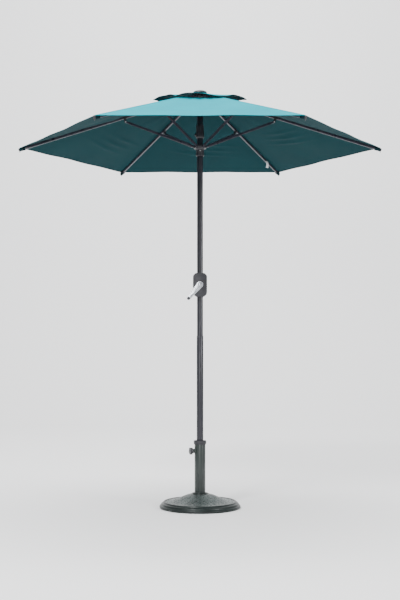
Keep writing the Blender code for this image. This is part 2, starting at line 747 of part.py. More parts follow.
def runner(plastic, metal):
    """The sliding hub that pushes the struts, with the screw that ties its cord."""
    bore = UPPER_POLE_RADIUS + RUNNER_CLEARANCE
    sleeve = bore + SLEEVE_WALL
    low = RUNNER_HEIGHT - HUB_HALF_HEIGHT
    foot = low - RUNNER_SLEEVE_LENGTH
    profile = [
        (bore, RUNNER_HEIGHT + HUB_HALF_HEIGHT),
        (HUB_RADIUS, RUNNER_HEIGHT + HUB_HALF_HEIGHT),
        (HUB_RADIUS, low),
        (sleeve, low),
        (sleeve, foot + 0.002),
        (sleeve - 0.002, foot),
        (bore, foot),
    ]
    hub = slotted(turned(profile, HUB_SIDES), RUNNER_HEIGHT)
    screw_height = low - RUNNER_SLEEVE_LENGTH / 3
    hole = rod((0, 0, screw_height), (0, -HUB_RADIUS, screw_height), 0.0018 + TOUCH, BORE_SIDES)
    finish(cut(hub, hole), "runner", plastic)
    finish(wire_ring(WIRE_RADIUS, RUNNER_HEIGHT), "runner_wire", metal)
    head = -(sleeve + TOUCH)
    screw = joined(
        rod((0, head, screw_height), (0, head - 0.0025, screw_height), RUNNER_SCREW_HEAD, end_radius=0.0025),
        rod((0, head - 0.001, screw_height), (0, -bore - 0.0005, screw_height), 0.0018, BORE_SIDES),
    )
    finish(screw, "runner_screw", metal)


# ---------------------------------------------------------------- ribs and struts


def eye_end(direction, depth):
    """A flattened bar end around a pin at the origin, reaching along X."""
    half = EYE_THICKNESS / 2
    reach = direction * (EYE_NECK + 0.004)
    eye = rod((0, -half, 0), (0, half, 0), EYE_RADIUS, 14)
    neck = cuboid(sorted((0, reach)), (-half, half), (-depth / 2, depth / 2))
    return joined(eye, neck)


def pin_bore(x=0.0):
    return rod((x, -0.02, 0), (x, 0.02, 0), EYE_BORE, BORE_SIDES)


def strut_rivet(reach):
    """The rivet of the strut's hinge, headed at REACH on either side."""
    end, under = reach + RIVET_HEAD_HEIGHT, reach - 0.0004
    profile = [
        (0, end),
        (RIVET_HEAD, end),
        (RIVET_HEAD, under),
        (RIVET_RADIUS, under),
        (RIVET_RADIUS, -under),
        (RIVET_HEAD, -under),
        (RIVET_HEAD, -end),
        (0, -end),
    ]
    rivet = turned(profile, 10, closed=False)
    across = Matrix.Rotation(math.pi / 2, 4, "X")
    rivet.data.transform(Matrix.Translation((JOINT_ALONG, 0, -BRACKET_DROP)) @ across)
    return rivet


def rib_bracket():
    """The strap round the rib and the cheeks that carry the strut's rivet."""
    half = BRACKET_LENGTH / 2
    strap_width = RIB_WIDTH / 2 + 0.0012
    strap_depth = RIB_DEPTH / 2 + 0.0012
    inside = SLOT_WIDTH / 2
    outside = inside + CHEEK_THICKNESS
    bottom = -BRACKET_DROP - 0.0065
    strap_x = (JOINT_ALONG - half, JOINT_ALONG + half)
    strap = cuboid(strap_x, (-strap_width, strap_width), (-strap_depth, strap_depth))
    cheek_x = (JOINT_ALONG - CHEEK_LENGTH / 2, JOINT_ALONG + CHEEK_LENGTH / 2)
    cheeks = [cuboid(cheek_x, sorted((side * inside, side * outside)), (bottom, 0)) for side in (-1, 1)]
    return joined(strap, *cheeks, strut_rivet(outside))


def ribs(material):
    """The canopy's arms: a tube, flattened at the crown, open at the end."""
    neck_depth = 2 * EYE_RADIUS - 0.0012
    bar = cuboid((EYE_NECK, RIB_END), (-RIB_WIDTH / 2, RIB_WIDTH / 2), (-RIB_DEPTH / 2, RIB_DEPTH / 2))
    inside = RIB_WIDTH / 2 - TUBE_WALL, RIB_DEPTH / 2 - TUBE_WALL
    hollow = cuboid((EYE_NECK + 0.008, RIB_LENGTH), (-inside[0], inside[0]), (-inside[1], inside[1]))
    rib = joined(bar, eye_end(1, neck_depth), rib_bracket())
    repeated(cut(rib, pin_bore(), hollow), "rib", material, rib_frame)


def rib_tips(material):
    """The plastic caps that plug the ribs' ends and hold the cloth's corners."""
    plug_y = RIB_WIDTH / 2 - TUBE_WALL - TOUCH
    plug_z = RIB_DEPTH / 2 - TUBE_WALL - TOUCH
    cap_y = RIB_WIDTH / 2 + TIP_CAP_WALL
    cap_z = RIB_DEPTH / 2 + TIP_CAP_WALL
    plug = cuboid((RIB_END - TIP_PLUG_LENGTH, RIB_END + 0.002), (-plug_y, plug_y), (-plug_z, plug_z))
    cap = softened(cuboid((RIB_END + TOUCH, RIB_LENGTH), (-cap_y, cap_y), (-cap_z, cap_z)), 0.002)
    hook_x = RIB_LENGTH - 0.006
    hook = rod((hook_x, 0, -cap_z + 0.001), (hook_x + 0.003, 0, -cap_z - 0.007), 0.0026, 6, 0.0018)
    repeated(joined(cap, plug, hook), "rib_tip", material, rib_frame)


def struts(material):
    """Channel bars from the ribs' brackets in to the runner."""
    half_width, half_depth = STRUT_WIDTH / 2, STRUT_DEPTH / 2
    bar = cuboid((EYE_NECK - STRUT_LENGTH, -EYE_NECK), (-half_width, half_width), (-half_depth, half_depth))
    outer_eye = eye_end(-1, 2 * EYE_RADIUS - 0.0012)
    inner_eye = eye_end(1, 2 * EYE_RADIUS - 0.0012)
    inner_eye.data.transform(Matrix.Translation((-STRUT_LENGTH, 0, 0)))
    channel = half_width - TUBE_WALL
    groove_x = (2 * EYE_NECK - STRUT_LENGTH, -2 * EYE_NECK)
    groove = cuboid(groove_x, (-channel, channel), (-half_depth - 0.01, half_depth - TUBE_WALL))
    rivet_bore = rod((0, -0.02, 0), (0, 0.02, 0), RIVET_RADIUS + TOUCH, 12)
    strut = cut(joined(bar, outer_eye, inner_eye), rivet_bore, pin_bore(-STRUT_LENGTH), groove)
    repeated(strut, "strut", material, strut_frame)


# ---------------------------------------------------------------- cloth


def cloth_sector(name, material, columns, height_of, sag_of):
    """One rib's share of a cloth, out to the middle of the panel on either side.

    COLUMNS are radii along the rib. Each row crosses from mid-panel to mid-panel.
    """
    rows = [-1, -0.5, 0, 0.5, 1]
    bm = bmesh.new()
    grid = []
    for radius in columns:
        limit = 1 - SEAM / radius
        line = []
        for row in rows:
            t = row * limit
            sag = sag_of(radius) * (2 * abs(t) - t * t)
            x = radius * (1 - abs(t) / 4)
            line.append(bm.verts.new((x, t * radius * math.sqrt(3) / 4, height_of(radius) - sag)))
        grid.append(line)
    for near, far in zip(grid, grid[1:]):
        for i in range(len(rows) - 1):
            bm.faces.new((near[i], far[i], far[i + 1], near[i + 1]))
    sheet = from_bmesh(bm)
    solidify = sheet.modifiers.new("Solidify", "SOLIDIFY")
    solidify.thickness = CLOTH
    solidify.offset = 1
    cloth = baked(sheet)
    cloth.data.transform((rib_frame(0)).inverted())
    repeated(cloth, name, material, rib_frame)


def cloth_height(radius):
    """The main cloth's underside above a rib."""
    lift = CLOTH_LIFT / math.cos(RIB_SLOPE)
    return CROWN_HEIGHT + lift - (radius - PIN_RING) * math.tan(RIB_SLOPE)


def spaced(start, end, steps):
    return [start + (end - start) * i / steps for i in range(steps + 1)]


def canopy(material):
    end = TIP_RADIUS - CLOTH_TIP_GAP

    def sag(radius):
        share = (radius - VENT_HOLE_RADIUS) / (end - VENT_HOLE_RADIUS)
        return CLOTH_SAG * (1 - share)

    cloth_sector("canopy", material, spaced(VENT_HOLE_RADIUS, end, 6), cloth_height, sag)


def vent(material):
    corner = cloth_height(VENT_RADIUS) + CLOTH + VENT_CORNER_RISE

    def share(radius):
        return (radius - VENT_INNER_RADIUS) / (VENT_RADIUS - VENT_INNER_RADIUS)

    def height(radius):
        return VENT_TOP + (corner - VENT_TOP) * share(radius)

    def sag(radius):
        return -VENT_ARCH * share(radius) ** 2

    cloth_sector("vent", material, spaced(VENT_INNER_RADIUS, VENT_RADIUS, 4), height, sag)


def main():
    for obj in list(bpy.data.objects):
        bpy.data.objects.remove(obj)
    parts = bpy.data.collections.new(SCENE_NAME)
    bpy.context.scene.collection.children.link(parts)

    stone = new_material("bronze_resin", (0.045, 0.060, 0.058), 0.35)
    tube_paint = new_material("base_tube_paint", (0.050, 0.062, 0.060), 0.30, 0.4)
    pole_paint = new_material("pole_paint", (0.020, 0.021, 0.028), 0.25, 0.3)
    frame_paint = new_material("frame_paint", (0.025, 0.026, 0.034), 0.30, 0.3)
    plastic = new_material("black_plastic", (0.018, 0.018, 0.022), 0.45)
    steel = new_material("zinc_steel", (0.60, 0.60, 0.60), 0.30, 1.0)
    silver = new_material("silver_crank", (0.72, 0.73, 0.75), 0.28, 1.0)
    cloth = new_material("turquoise_cloth", (0.01, 0.42, 0.44), 0.80)

    base_plate(stone)
    base_tube(tube_paint)
    pole_reducer(plastic)
    tube_bolt(steel)
    clamp(steel, plastic)
    lower_pole(pole_paint, plastic)
    upper_pole(pole_paint)
    tilt_sleeve(plastic)
    tilt_button(plastic)
    crank_housing(plastic, steel)
    crank(silver, plastic)
    crown(plastic, steel)
    top_cap(plastic)
    runner(plastic, steel)
    ribs(frame_paint)
    rib_tips(plastic)
    struts(frame_paint)
    canopy(cloth)
    vent(cloth)


main()
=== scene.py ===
"""Looks of a patio umbrella that stands in its base.

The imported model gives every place: the hinges of ribs, struts and runner, the crank's
axis and each node's box. The classes below dress one sub-assembly each. Metres, +Z up.
"""

from __future__ import annotations

import json
import logging
import math
from abc import ABC, abstractmethod
from collections.abc import Iterable, Iterator, Sequence
from contextlib import contextmanager
from dataclasses import dataclass, field
from enum import Enum
from typing import Any

import bmesh
import bpy
import numpy as np
from mathutils import Matrix, Vector

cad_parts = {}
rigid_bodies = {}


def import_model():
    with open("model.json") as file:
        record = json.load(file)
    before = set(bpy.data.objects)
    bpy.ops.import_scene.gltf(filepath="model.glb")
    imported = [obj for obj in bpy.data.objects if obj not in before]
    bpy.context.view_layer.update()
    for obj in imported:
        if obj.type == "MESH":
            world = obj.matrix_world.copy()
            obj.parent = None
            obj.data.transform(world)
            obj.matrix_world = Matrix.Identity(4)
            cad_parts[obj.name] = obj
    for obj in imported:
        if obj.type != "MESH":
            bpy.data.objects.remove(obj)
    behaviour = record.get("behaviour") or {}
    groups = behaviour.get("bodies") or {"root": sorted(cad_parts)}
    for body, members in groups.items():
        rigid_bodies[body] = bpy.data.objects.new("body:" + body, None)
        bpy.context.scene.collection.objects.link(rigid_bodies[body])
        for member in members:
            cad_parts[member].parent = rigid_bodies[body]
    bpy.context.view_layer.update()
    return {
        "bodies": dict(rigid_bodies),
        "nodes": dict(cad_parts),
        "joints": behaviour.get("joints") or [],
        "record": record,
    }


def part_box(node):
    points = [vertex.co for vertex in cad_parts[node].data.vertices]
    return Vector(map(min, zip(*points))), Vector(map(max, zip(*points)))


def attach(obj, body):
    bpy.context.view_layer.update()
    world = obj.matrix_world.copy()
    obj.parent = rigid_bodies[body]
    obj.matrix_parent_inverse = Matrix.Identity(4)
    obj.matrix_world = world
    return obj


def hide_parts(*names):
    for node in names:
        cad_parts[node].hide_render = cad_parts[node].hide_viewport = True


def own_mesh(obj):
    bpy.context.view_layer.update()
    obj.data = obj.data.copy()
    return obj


LOG = logging.getLogger("patio_umbrella")
RIBS = 6
HALF_WIDTH = math.sqrt(3) / 4  # half a sector's width, as a share of its radius
MID_PANEL = 3 / 4  # how far out a panel's middle reaches in its rib's direction, likewise
Triple = tuple[float, float, float]
Profile = list[tuple[float, float]]
Piece = bpy.types.Object
Socket = bpy.types.NodeSocket
Node = bpy.types.Node


# ------------------------------------------------------------------ node graphs


class Graph:
    """A node tree that is being wired."""

    def __init__(self, tree: bpy.types.NodeTree) -> None:
        """Starts on TREE, which keeps the nodes that it has."""
        self.tree = tree

    def add(self, kind: str, inputs: dict[Any, Any] | None = None, **settings: Any) -> Node:
        """Adds a node.

        Args:
            kind: the node's type name.
            inputs: what goes into its sockets, by name or number.
            settings: the node's own properties.

        Returns:
            The node.
        """
        node = self.tree.nodes.new(kind)
        for key, value in settings.items():
            setattr(node, key, value)
        for key, value in (inputs or {}).items():
            self.feed(node.inputs[key], value)
        return node

    def feed(self, socket: Socket, value: Any) -> None:
        """Links VALUE to SOCKET, or sets it there when it is plain."""
        if isinstance(value, Socket):
            self.tree.links.new(value, socket)
        else:
            socket.default_value = value

    def math(self, operation: str, *values: Any) -> Socket:
        """The result of a Math node."""
        return self.add("ShaderNodeMath", dict(enumerate(values)), operation=operation).outputs[0]

    def vector(self, operation: str, *values: Any) -> Socket:
        """The result of a Vector Math node."""
        return self.add("ShaderNodeVectorMath", dict(enumerate(values)), operation=operation).outputs[0]

    def remap(
        self, value: Any, low: float, high: float, to_low: float = 0.0, to_high: float = 1.0
    ) -> Socket:
        """VALUE taken from LOW..HIGH to TO_LOW..TO_HIGH, clamped."""
        inputs = {"Value": value, "From Min": low, "From Max": high, "To Min": to_low, "To Max": to_high}
        return self.add("ShaderNodeMapRange", inputs).outputs["Result"]

    def tint(self, factor: Any, a: Any, b: Any) -> Socket:
        """Colour A turned to colour B by FACTOR."""
        return self.add("ShaderNodeMix", {0: factor, 6: a, 7: b}, data_type="RGBA").outputs[2]

    def noise(self, vector: Any, scale: float, detail: float = 3.0) -> Socket:
        """The grey value of a Noise Texture."""
        inputs = {"Vector": vector, "Scale": scale, "Detail": detail, "Roughness": 0.55}
        return self.add("ShaderNodeTexNoise", inputs).outputs[0]


# ------------------------------------------------------------------ finishes


class Slot(Enum):
    """The record's material slots."""

    CAST = "bronze_resin"
    BASE_TUBE = "base_tube_paint"
    POLE = "pole_paint"
    FRAME = "frame_paint"
    PLASTIC = "black_plastic"
    ZINC = "zinc_steel"
    SILVER = "silver_crank"
    CLOTH = "turquoise_cloth"


@dataclass(frozen=True)
class Finish(ABC):
    """A surface finish, made into a material once."""

    name: str
    colour: Triple
    roughness: float

    def rgba(self, share: float = 1.0) -> tuple[float, float, float, float]:
        """The colour, brightened by SHARE."""
        return (*(min(1.0, c * share) for c in self.colour), 1.0)

    def material(self) -> bpy.types.Material:
        """The finish's material, built on first use.

        Returns:
            The material.
        """
        found = bpy.data.materials.get(self.name)
        if found is not None:
            return found
        material = bpy.data.materials.new(self.name)
        material.use_nodes = True
        graph = Graph(material.node_tree)
        shader = material.node_tree.nodes["Principled BSDF"]
        self.dial(shader, {"Roughness": self.roughness})
        self.wire(graph, shader)
        return material

    @abstractmethod
    def wire(self, graph: Graph, shader: Node) -> None:
        """Adds the finish's nodes to SHADER."""

    @staticmethod
    def place(graph: Graph, scale: Triple = (1, 1, 1)) -> Socket:
        """Object coordinates, stretched by SCALE."""
        coordinates = graph.add("ShaderNodeTexCoord").outputs["Object"]
        return graph.add("ShaderNodeMapping", {"Vector": coordinates, "Scale": scale}).outputs[0]

    def mottled(self, graph: Graph, noise: Any, dark: float, light: float) -> Socket:
        """The colour, from DARK to LIGHT times itself with NOISE."""
        return graph.tint(graph.remap(noise, 0.3, 0.7), self.rgba(dark), self.rgba(light))

    def uneven_gloss(
        self,
        graph: Graph,
        shader: Node,
        noise: Any,
        over: tuple[float, float],
        by: tuple[float, float],
    ) -> None:
        """Lets SHADER's roughness vary with a noise.

        Args:
            graph: the material's graph.
            shader: whose roughness it is.
            noise: the grey value that it follows.
            over: the noise's values at the two ends.
            by: what the roughness gains at the two ends.
        """
        ends = [self.roughness + change for change in by]
        graph.feed(shader.inputs["Roughness"], graph.remap(noise, *over, *ends))

    @staticmethod
    def bump(graph: Graph, shader: Node, height: Any, strength: float, distance: float) -> None:
        """Gives SHADER a bump of DISTANCE metres from HEIGHT."""
        inputs = {"Height": height, "Strength": strength, "Distance": distance}
        graph.feed(shader.inputs["Normal"], graph.add("ShaderNodeBump", inputs).outputs[0])

    @staticmethod
    def dial(shader: Node, settings: dict[str, Any]) -> None:
        """Sets SHADER's plain inputs by name."""
        for name, value in settings.items():
            shader.inputs[name].default_value = value


@dataclass(frozen=True)
class ClothFinish(Finish):
    """Plain-weave polyester: threads along the piece's own UV map, in metres."""

    thread: float = 0.0011
    fade: float = 0.10
    sheen: float = 0.25

    def wire(self, graph: Graph, shader: Node) -> None:
        """Colour from thread, mottling and fading; bump from the weave.

        Args:
            graph: the tree that the nodes go into.
            shader: the material's shader node.
        """
        uv = graph.add("ShaderNodeUVMap").outputs[0]
        parts = graph.add("ShaderNodeSeparateXYZ", {0: uv})
        turns = math.tau / self.thread
        warp = graph.math("SINE", graph.math("MULTIPLY", parts.outputs[0], turns))
        weft = graph.math("SINE", graph.math("MULTIPLY", parts.outputs[1], turns))
        weave = graph.math("MULTIPLY", warp, weft)
        slub = graph.noise(graph.vector("MULTIPLY", uv, (400.0, 25.0, 0.0)), 1.0)
        mottle = graph.noise(self.place(graph), 3.5, 4.0)
        shade = graph.math("ADD", graph.math("MULTIPLY", mottle, 0.65), graph.math("MULTIPLY", slub, 0.35))
        faded = self.mottled(graph, shade, 1 - self.fade, 1 + self.fade)
        threads = graph.remap(weave, -1.0, 1.0, 0.0, 0.12)
        graph.feed(shader.inputs["Base Color"], graph.tint(threads, faded, self.rgba(0.55)))
        self.uneven_gloss(graph, shader, slub, (0.2, 0.8), (-0.06, 0.06))
        self.bump(graph, shader, graph.math("ADD", weave, graph.math("MULTIPLY", slub, 0.8)), 0.22, 0.00025)
        self.dial(shader, {"Sheen Weight": self.sheen, "Sheen Roughness": 0.4, "Specular IOR Level": 0.10})


@dataclass(frozen=True)
class ThreadFinish(Finish):
    """Sewing thread, lighter where its twist catches the light."""

    def wire(self, graph: Graph, shader: Node) -> None:
        """Fine noise for the twist.

        Args:
            graph: the tree that the nodes go into.
            shader: the material's shader node.
        """
        twist = graph.noise(self.place(graph), 700.0, 2.0)
        graph.feed(shader.inputs["Base Color"], graph.tint(twist, self.rgba(0.7), self.rgba(1.4)))
        self.bump(graph, shader, twist, 0.3, 0.0001)
        self.dial(shader, {"Specular IOR Level": 0.2})


@dataclass(frozen=True)
class PaintFinish(Finish):
    """Sprayed or powder-coated metal with a fine orange peel and light rub marks."""

    coat: float = 0.10
    shine: float = 0.35
    drawn: Triple = (60.0, 60.0, 3.0)

    def wire(self, graph: Graph, shader: Node) -> None:
        """Colour and gloss vary along the piece, and the peel is a bump.

        Args:
            graph: the tree that the nodes go into.
            shader: the material's shader node.
        """
        place = self.place(graph)
        cloud = graph.noise(place, 9.0, 4.0)
        streak = graph.noise(self.place(graph, self.drawn), 2.0, 5.0)
        graph.feed(shader.inputs["Base Color"], self.mottled(graph, cloud, 0.85, 1.25))
        self.uneven_gloss(graph, shader, streak, (0.35, 0.75), (-0.04, 0.12))
        self.bump(graph, shader, graph.noise(place, 420.0, 2.0), 0.35, 0.00006)
        dials = {"Specular IOR Level": self.shine, "Coat Weight": self.coat, "Coat Roughness": 0.15}
        self.dial(shader, dials)


@dataclass(frozen=True)
class CastFinish(Finish):
    """Painted cast stone, lighter on the heights of its relief as rubbed paint and as a painted highlight, so
    darker in its hollows.
    """

    # the lighter colour of the heights: rubbed paint and a painted highlight
    worn: Triple = (0.135, 0.165, 0.158)

    def wire(self, graph: Graph, shader: Node) -> None:
        """Reads the piece's relief attribute and two scales of noise.

        Args:
            graph: the tree that the nodes go into.
            shader: the material's shader node.
        """
        place = self.place(graph)
        relief = graph.add("ShaderNodeAttribute", attribute_name="relief").outputs["Fac"]
        cloud = graph.noise(place, 14.0, 5.0)
        grain = graph.noise(place, 260.0, 3.0)
        ground = self.mottled(graph, cloud, 0.75, 1.3)
        # the relief's heights turn towards the lighter colour: rubbed paint, and a painted highlight for the
        # glints on the bars
        raised = graph.math("MULTIPLY", relief, graph.remap(cloud, 0.35, 0.65, 0.35, 0.9))
        graph.feed(shader.inputs["Base Color"], graph.tint(raised, ground, (*self.worn, 1.0)))
        dull = graph.remap(relief, 0.0, 1.0, self.roughness + 0.16, self.roughness)
        speckled = graph.math("ADD", dull, graph.remap(grain, 0.3, 0.7, -0.03, 0.05))
        graph.feed(shader.inputs["Roughness"], speckled)
        self.bump(graph, shader, graph.math("ADD", grain, cloud), 0.3, 0.00025)
        self.dial(shader, {"Metallic": 0.35, "Specular IOR Level": 0.3})
        self.dial(shader, {"Coat Weight": 0.10, "Coat Roughness": 0.2})


@dataclass(frozen=True)
class PlasticFinish(Finish):
    """Moulded plastic with a fine spark-eroded grain."""

    grain: float = 900.0

    def wire(self, graph: Graph, shader: Node) -> None:
        """Grain as bump, and a slightly uneven gloss.

        Args:
            graph: the tree that the nodes go into.
            shader: the material's shader node.
        """
        place = self.place(graph)
        cloud = graph.noise(place, 25.0, 3.0)
        graph.feed(shader.inputs["Base Color"], self.mottled(graph, cloud, 0.85, 1.3))
        self.uneven_gloss(graph, shader, cloud, (0.3, 0.7), (-0.05, 0.08))
        cells = graph.add("ShaderNodeTexVoronoi", {"Vector": place, "Scale": self.grain}).outputs["Distance"]
        self.bump(graph, shader, cells, 0.3, 0.00008)
        self.dial(shader, {"Specular IOR Level": 0.45})


@dataclass(frozen=True)
class MetalFinish(Finish):
    """Bare metal, brushed along one axis of the object."""

    along: Triple = (40.0, 40.0, 900.0)
    tarnish: float = 0.75

    def wire(self, graph: Graph, shader: Node) -> None:
        """Brush marks as bump and gloss, tarnish as colour.

        Args:
            graph: the tree that the nodes go into.
            shader: the material's shader node.
        """
        brush = graph.noise(self.place(graph, self.along), 1.0, 4.0)
        cloud = graph.noise(self.place(graph), 60.0, 4.0)
        colour = graph.tint(graph.remap(cloud, 0.45, 0.75), self.rgba(), self.rgba(self.tarnish))
        graph.feed(shader.inputs["Base Color"], colour)
        self.uneven_gloss(graph, shader, brush, (0.3, 0.7), (-0.06, 0.1))
        self.bump(graph, shader, brush, 0.2, 0.00006)
        self.dial(shader, {"Metallic": 1.0})


@dataclass(frozen=True)
class PlainFinish(Finish):
    """The studio's matt floor."""

    def wire(self, graph: Graph, shader: Node) -> None:
        """One even colour."""
        self.dial(shader, {"Base Color": self.rgba(), "Specular IOR Level": 0.1})


@dataclass(frozen=True)
class Finishes:
    """Every finish on the umbrella."""

    cloth_top: Finish = ClothFinish("turquoise_cloth_top", (0.0, 0.300, 0.365), 0.92, sheen=0.0)
    # painted shade: the underside is the same cloth painted far darker, for the shade under the canopy
    cloth_under: Finish = ClothFinish("turquoise_cloth_underside", (0.004, 0.031, 0.037), 0.92, sheen=0.0)
    hem_thread: Finish = ThreadFinish("teal_thread", (0.004, 0.110, 0.125), 0.7)
    # painted shade: a still darker copy of the cloth, for the doubled hem underneath, the sheet's walls and
    # the corner pockets
    hem_tape: Finish = ClothFinish("dark_hem", (0.002, 0.014, 0.018), 0.90, sheen=0.0)
    label: Finish = ClothFinish("blank_label_tape", (0.78, 0.80, 0.80), 0.7, fade=0.03)
    pole: Finish = PaintFinish("midnight_pole_paint", (0.012, 0.012, 0.017), 0.34, coat=0.12)
    frame: Finish = PaintFinish(
        "midnight_frame_paint", (0.026, 0.024, 0.036), 0.30, shine=0.5, drawn=(15.0, 15.0, 15.0)
    )
    base_tube: Finish = PaintFinish("bronze_tube_paint", (0.016, 0.022, 0.020), 0.30, coat=0.10, shine=0.40)
    cast: Finish = CastFinish("bronze_cast_paint", (0.010, 0.015, 0.014), 0.24)
    plastic: Finish = PlasticFinish("satin_black_plastic", (0.014, 0.014, 0.018), 0.42)
    zinc: Finish = MetalFinish("bright_zinc", (0.62, 0.63, 0.64), 0.30)
    silver: Finish = MetalFinish("cast_silver_metal", (0.50, 0.52, 0.55), 0.28, along=(300.0, 30.0, 300.0))


# ------------------------------------------------------------------ mesh building


def new_object(name: str, data: bpy.types.ID) -> Piece:
    """An object at the origin that holds DATA, linked to the scene."""
    obj = bpy.data.objects.new(name, data)
    bpy.context.scene.collection.objects.link(obj)
    return obj


def mesh_object(
    name: str, points: Sequence[Any], faces: Sequence[Any] = (), edges: Sequence[Any] = ()
) -> Piece:
    """A mesh object from points, faces and loose edges."""
    mesh = bpy.data.meshes.new(name)
    mesh.from_pydata([tuple(p) for p in points], list(edges), [tuple(f) for f in faces])
    return new_object(name, mesh)


@contextmanager
def editing(mesh: bpy.types.Mesh) -> Iterator[bmesh.types.BMesh]:
    """Opens MESH for editing and writes it back at the end."""
    edit = bmesh.new()
    edit.from_mesh(mesh)
    yield edit
    edit.to_mesh(mesh)
    edit.free()


def baked(obj: Piece) -> Piece:
    """Turns OBJ's modifiers, or its curve, into a plain mesh.

    Args:
        obj: a mesh or curve object at the origin.

    Returns:
        The same object, or a new mesh object in place of a curve.
    """
    bpy.context.view_layer.update()
    evaluated = obj.evaluated_get(bpy.context.evaluated_depsgraph_get())
    mesh = bpy.data.meshes.new_from_object(evaluated)
    if obj.type == "MESH":
        obj.modifiers.clear()
        obj.data = mesh
        return obj
    name = obj.name
    bpy.data.objects.remove(obj)
    with editing(mesh) as weld:
        bmesh.ops.remove_doubles(weld, verts=weld.verts, dist=1e-6)
    return new_object(name, mesh)


def moved(obj: Piece, matrix: Matrix) -> Piece:
    """OBJ with MATRIX applied to its mesh."""
    obj.data.transform(matrix)
    return obj


def walled(obj: Piece, thickness: float, offset: float) -> Piece:
    """Gives an open surface a wall.

    Args:
        obj: the surface.
        thickness: of the wall, in metres.
        offset: -1 for inwards, 0 for half each way.

    Returns:
        The same object, closed.
    """
    wall = obj.modifiers.new("Wall", "SOLIDIFY")
    wall.thickness = thickness
    wall.offset = offset
    return baked(obj)


def shaded(obj: Piece, angle: float) -> Piece:
    """Shades OBJ smooth up to ANGLE degrees."""
    obj.data.shade_smooth()
    obj.data.set_sharp_from_angle(angle=math.radians(angle))
    return obj


def smoothed(obj: Piece, finish: Finish, angle: float = 32.0) -> Piece:
    """Shades OBJ smooth up to ANGLE degrees and gives it FINISH."""
    obj.data.materials.clear()
    obj.data.materials.append(finish.material())
    return shaded(obj, angle)


def joined(name: str, pieces: Sequence[Piece]) -> Piece:
    """One object of all PIECES, with their materials.

    Args:
        name: the object's name.
        pieces: the objects to join.

    Returns:
        The first of them, which now holds them all.
    """
    first, every = pieces[0], list(pieces)
    with bpy.context.temp_override(
        active_object=first, object=first, selected_objects=every, selected_editable_objects=every
    ):
        bpy.ops.object.join()
    first.name = name
    first.data.name = name
    return first


def made_of(finish: Finish, name: str, *pieces: Piece) -> Piece:
    """One object of all PIECES, every one in FINISH."""
    return joined(name, [smoothed(piece, finish) for piece in pieces])


def copy_of(obj: Piece, name: str, matrix: Matrix) -> Piece:
    """A copy of OBJ's mesh under NAME, with MATRIX applied."""
    return moved(new_object(name, obj.data.copy()), matrix)


def rounded(profile: Profile, radius: float, steps: int = 3, closed: bool = True) -> Profile:
    """PROFILE with each corner eased over RADIUS.

    Args:
        profile: corner points in order.
        radius: how far from the corner the easing starts, at most 45% of a side.
        steps: points between the two ends of an easing.
        closed: False where the profile's ends lie on the axis and stay as they are.

    Returns:
        The eased profile.
    """
    count = len(profile)
    eased: Profile = []
    for i, corner in enumerate(profile):
        if not closed and i in (0, count - 1):
            eased.append(corner)
            continue
        here = Vector(corner)
        sides = [Vector(profile[i - 1]) - here, Vector(profile[(i + 1) % count]) - here]
        ends = [here + side.normalized() * min(radius, 0.45 * side.length) for side in sides]
        for step in range(steps + 1):
            t = step / steps
            point = (1 - t) ** 2 * ends[0] + 2 * t * (1 - t) * here + t * t * ends[1]
            eased.append((point.x, point.y))
    return eased


def lathe(name: str, profile: Profile, segments: int = 64, closed: bool = True) -> Piece:
    """A turned piece round Z.

    Args:
        name: the object's name.
        profile: (radius, height) points, down the outer side.
        segments: facets round the piece.
        closed: True for a ring, False where both ends lie on the axis.

    Returns:
        The object, with outward faces.
    """
    angles = [math.tau * i / segments for i in range(segments)]
    points: list[Triple] = []
    rings: list[list[int]] = []
    for radius, height in profile:
        if radius < 1e-7:
            rings.append([len(points)] * segments)
            points.append((0.0, 0.0, height))
            continue
        rings.append(list(range(len(points), len(points) + segments)))
        points.extend((radius * math.cos(a), radius * math.sin(a), height) for a in angles)
    faces = []
    pairs = list(zip(rings, rings[1:])) + ([(rings[-1], rings[0])] if closed else [])
    for upper, lower in pairs:
        for i in range(segments):
            j = (i + 1) % segments
            corners = [upper[i], lower[i], lower[j], upper[j]]
            face = [c for n, c in enumerate(corners) if c != corners[n - 1]]
            if len(face) > 2:
                faces.append(face)
    return mesh_object(name, points, faces)


def slab(
    name: str,
    outlines: Sequence[Profile],
    thickness: float,
    facing: Matrix,
    ease: float = 0.0,
    steps: int = 2,
) -> Piece:
    """A flat piece with eased edges.

    Args:
        name: the object's name.
        outlines: the outer outline and any holes, in XY.
        thickness: along Z, half to either side.
        facing: where the piece goes.
        ease: width of the eased edge.
        steps: facets of the eased edge.

    Returns:
        The object.
    """
    curve = bpy.data.curves.new(name, "CURVE")
    curve.dimensions = "2D"
    curve.fill_mode = "BOTH"
    curve.extrude = thickness / 2
    for outline in outlines:
        spline = curve.splines.new("POLY")
        spline.points.add(len(outline) - 1)
        for point, (x, y) in zip(spline.points, outline):
            point.co = (x, y, 0, 1)
        spline.use_cyclic_u = True
    obj = baked(new_object(name, curve))
    if ease > 0:
        bevel = obj.modifiers.new("Bevel", "BEVEL")
        bevel.width = ease
        bevel.segments = steps
        bevel.limit_method = "ANGLE"
        bevel.angle_limit = math.radians(40)
        obj = baked(obj)
    return moved(obj, facing)


def circle(radius: float, segments: int) -> Profile:
    """Points round a circle."""
    return arc((0.0, 0.0), radius, 0.0, math.tau, segments)[:-1]


def arc(centre: Sequence[float], radius: float, start: float, end: float, steps: int) -> Profile:
    """Points on an arc from angle START to END."""
    angles = [start + (end - start) * i / steps for i in range(steps + 1)]
    return [(centre[0] + radius * math.cos(a), centre[1] + radius * math.sin(a)) for a in angles]


def square_ring(inner: float, outer: float, top: float, foot: float) -> Profile:
    """The section of a plain ring, or of a disc where INNER is 0."""
    return [(inner, top), (outer, top), (outer, foot), (inner, foot)]


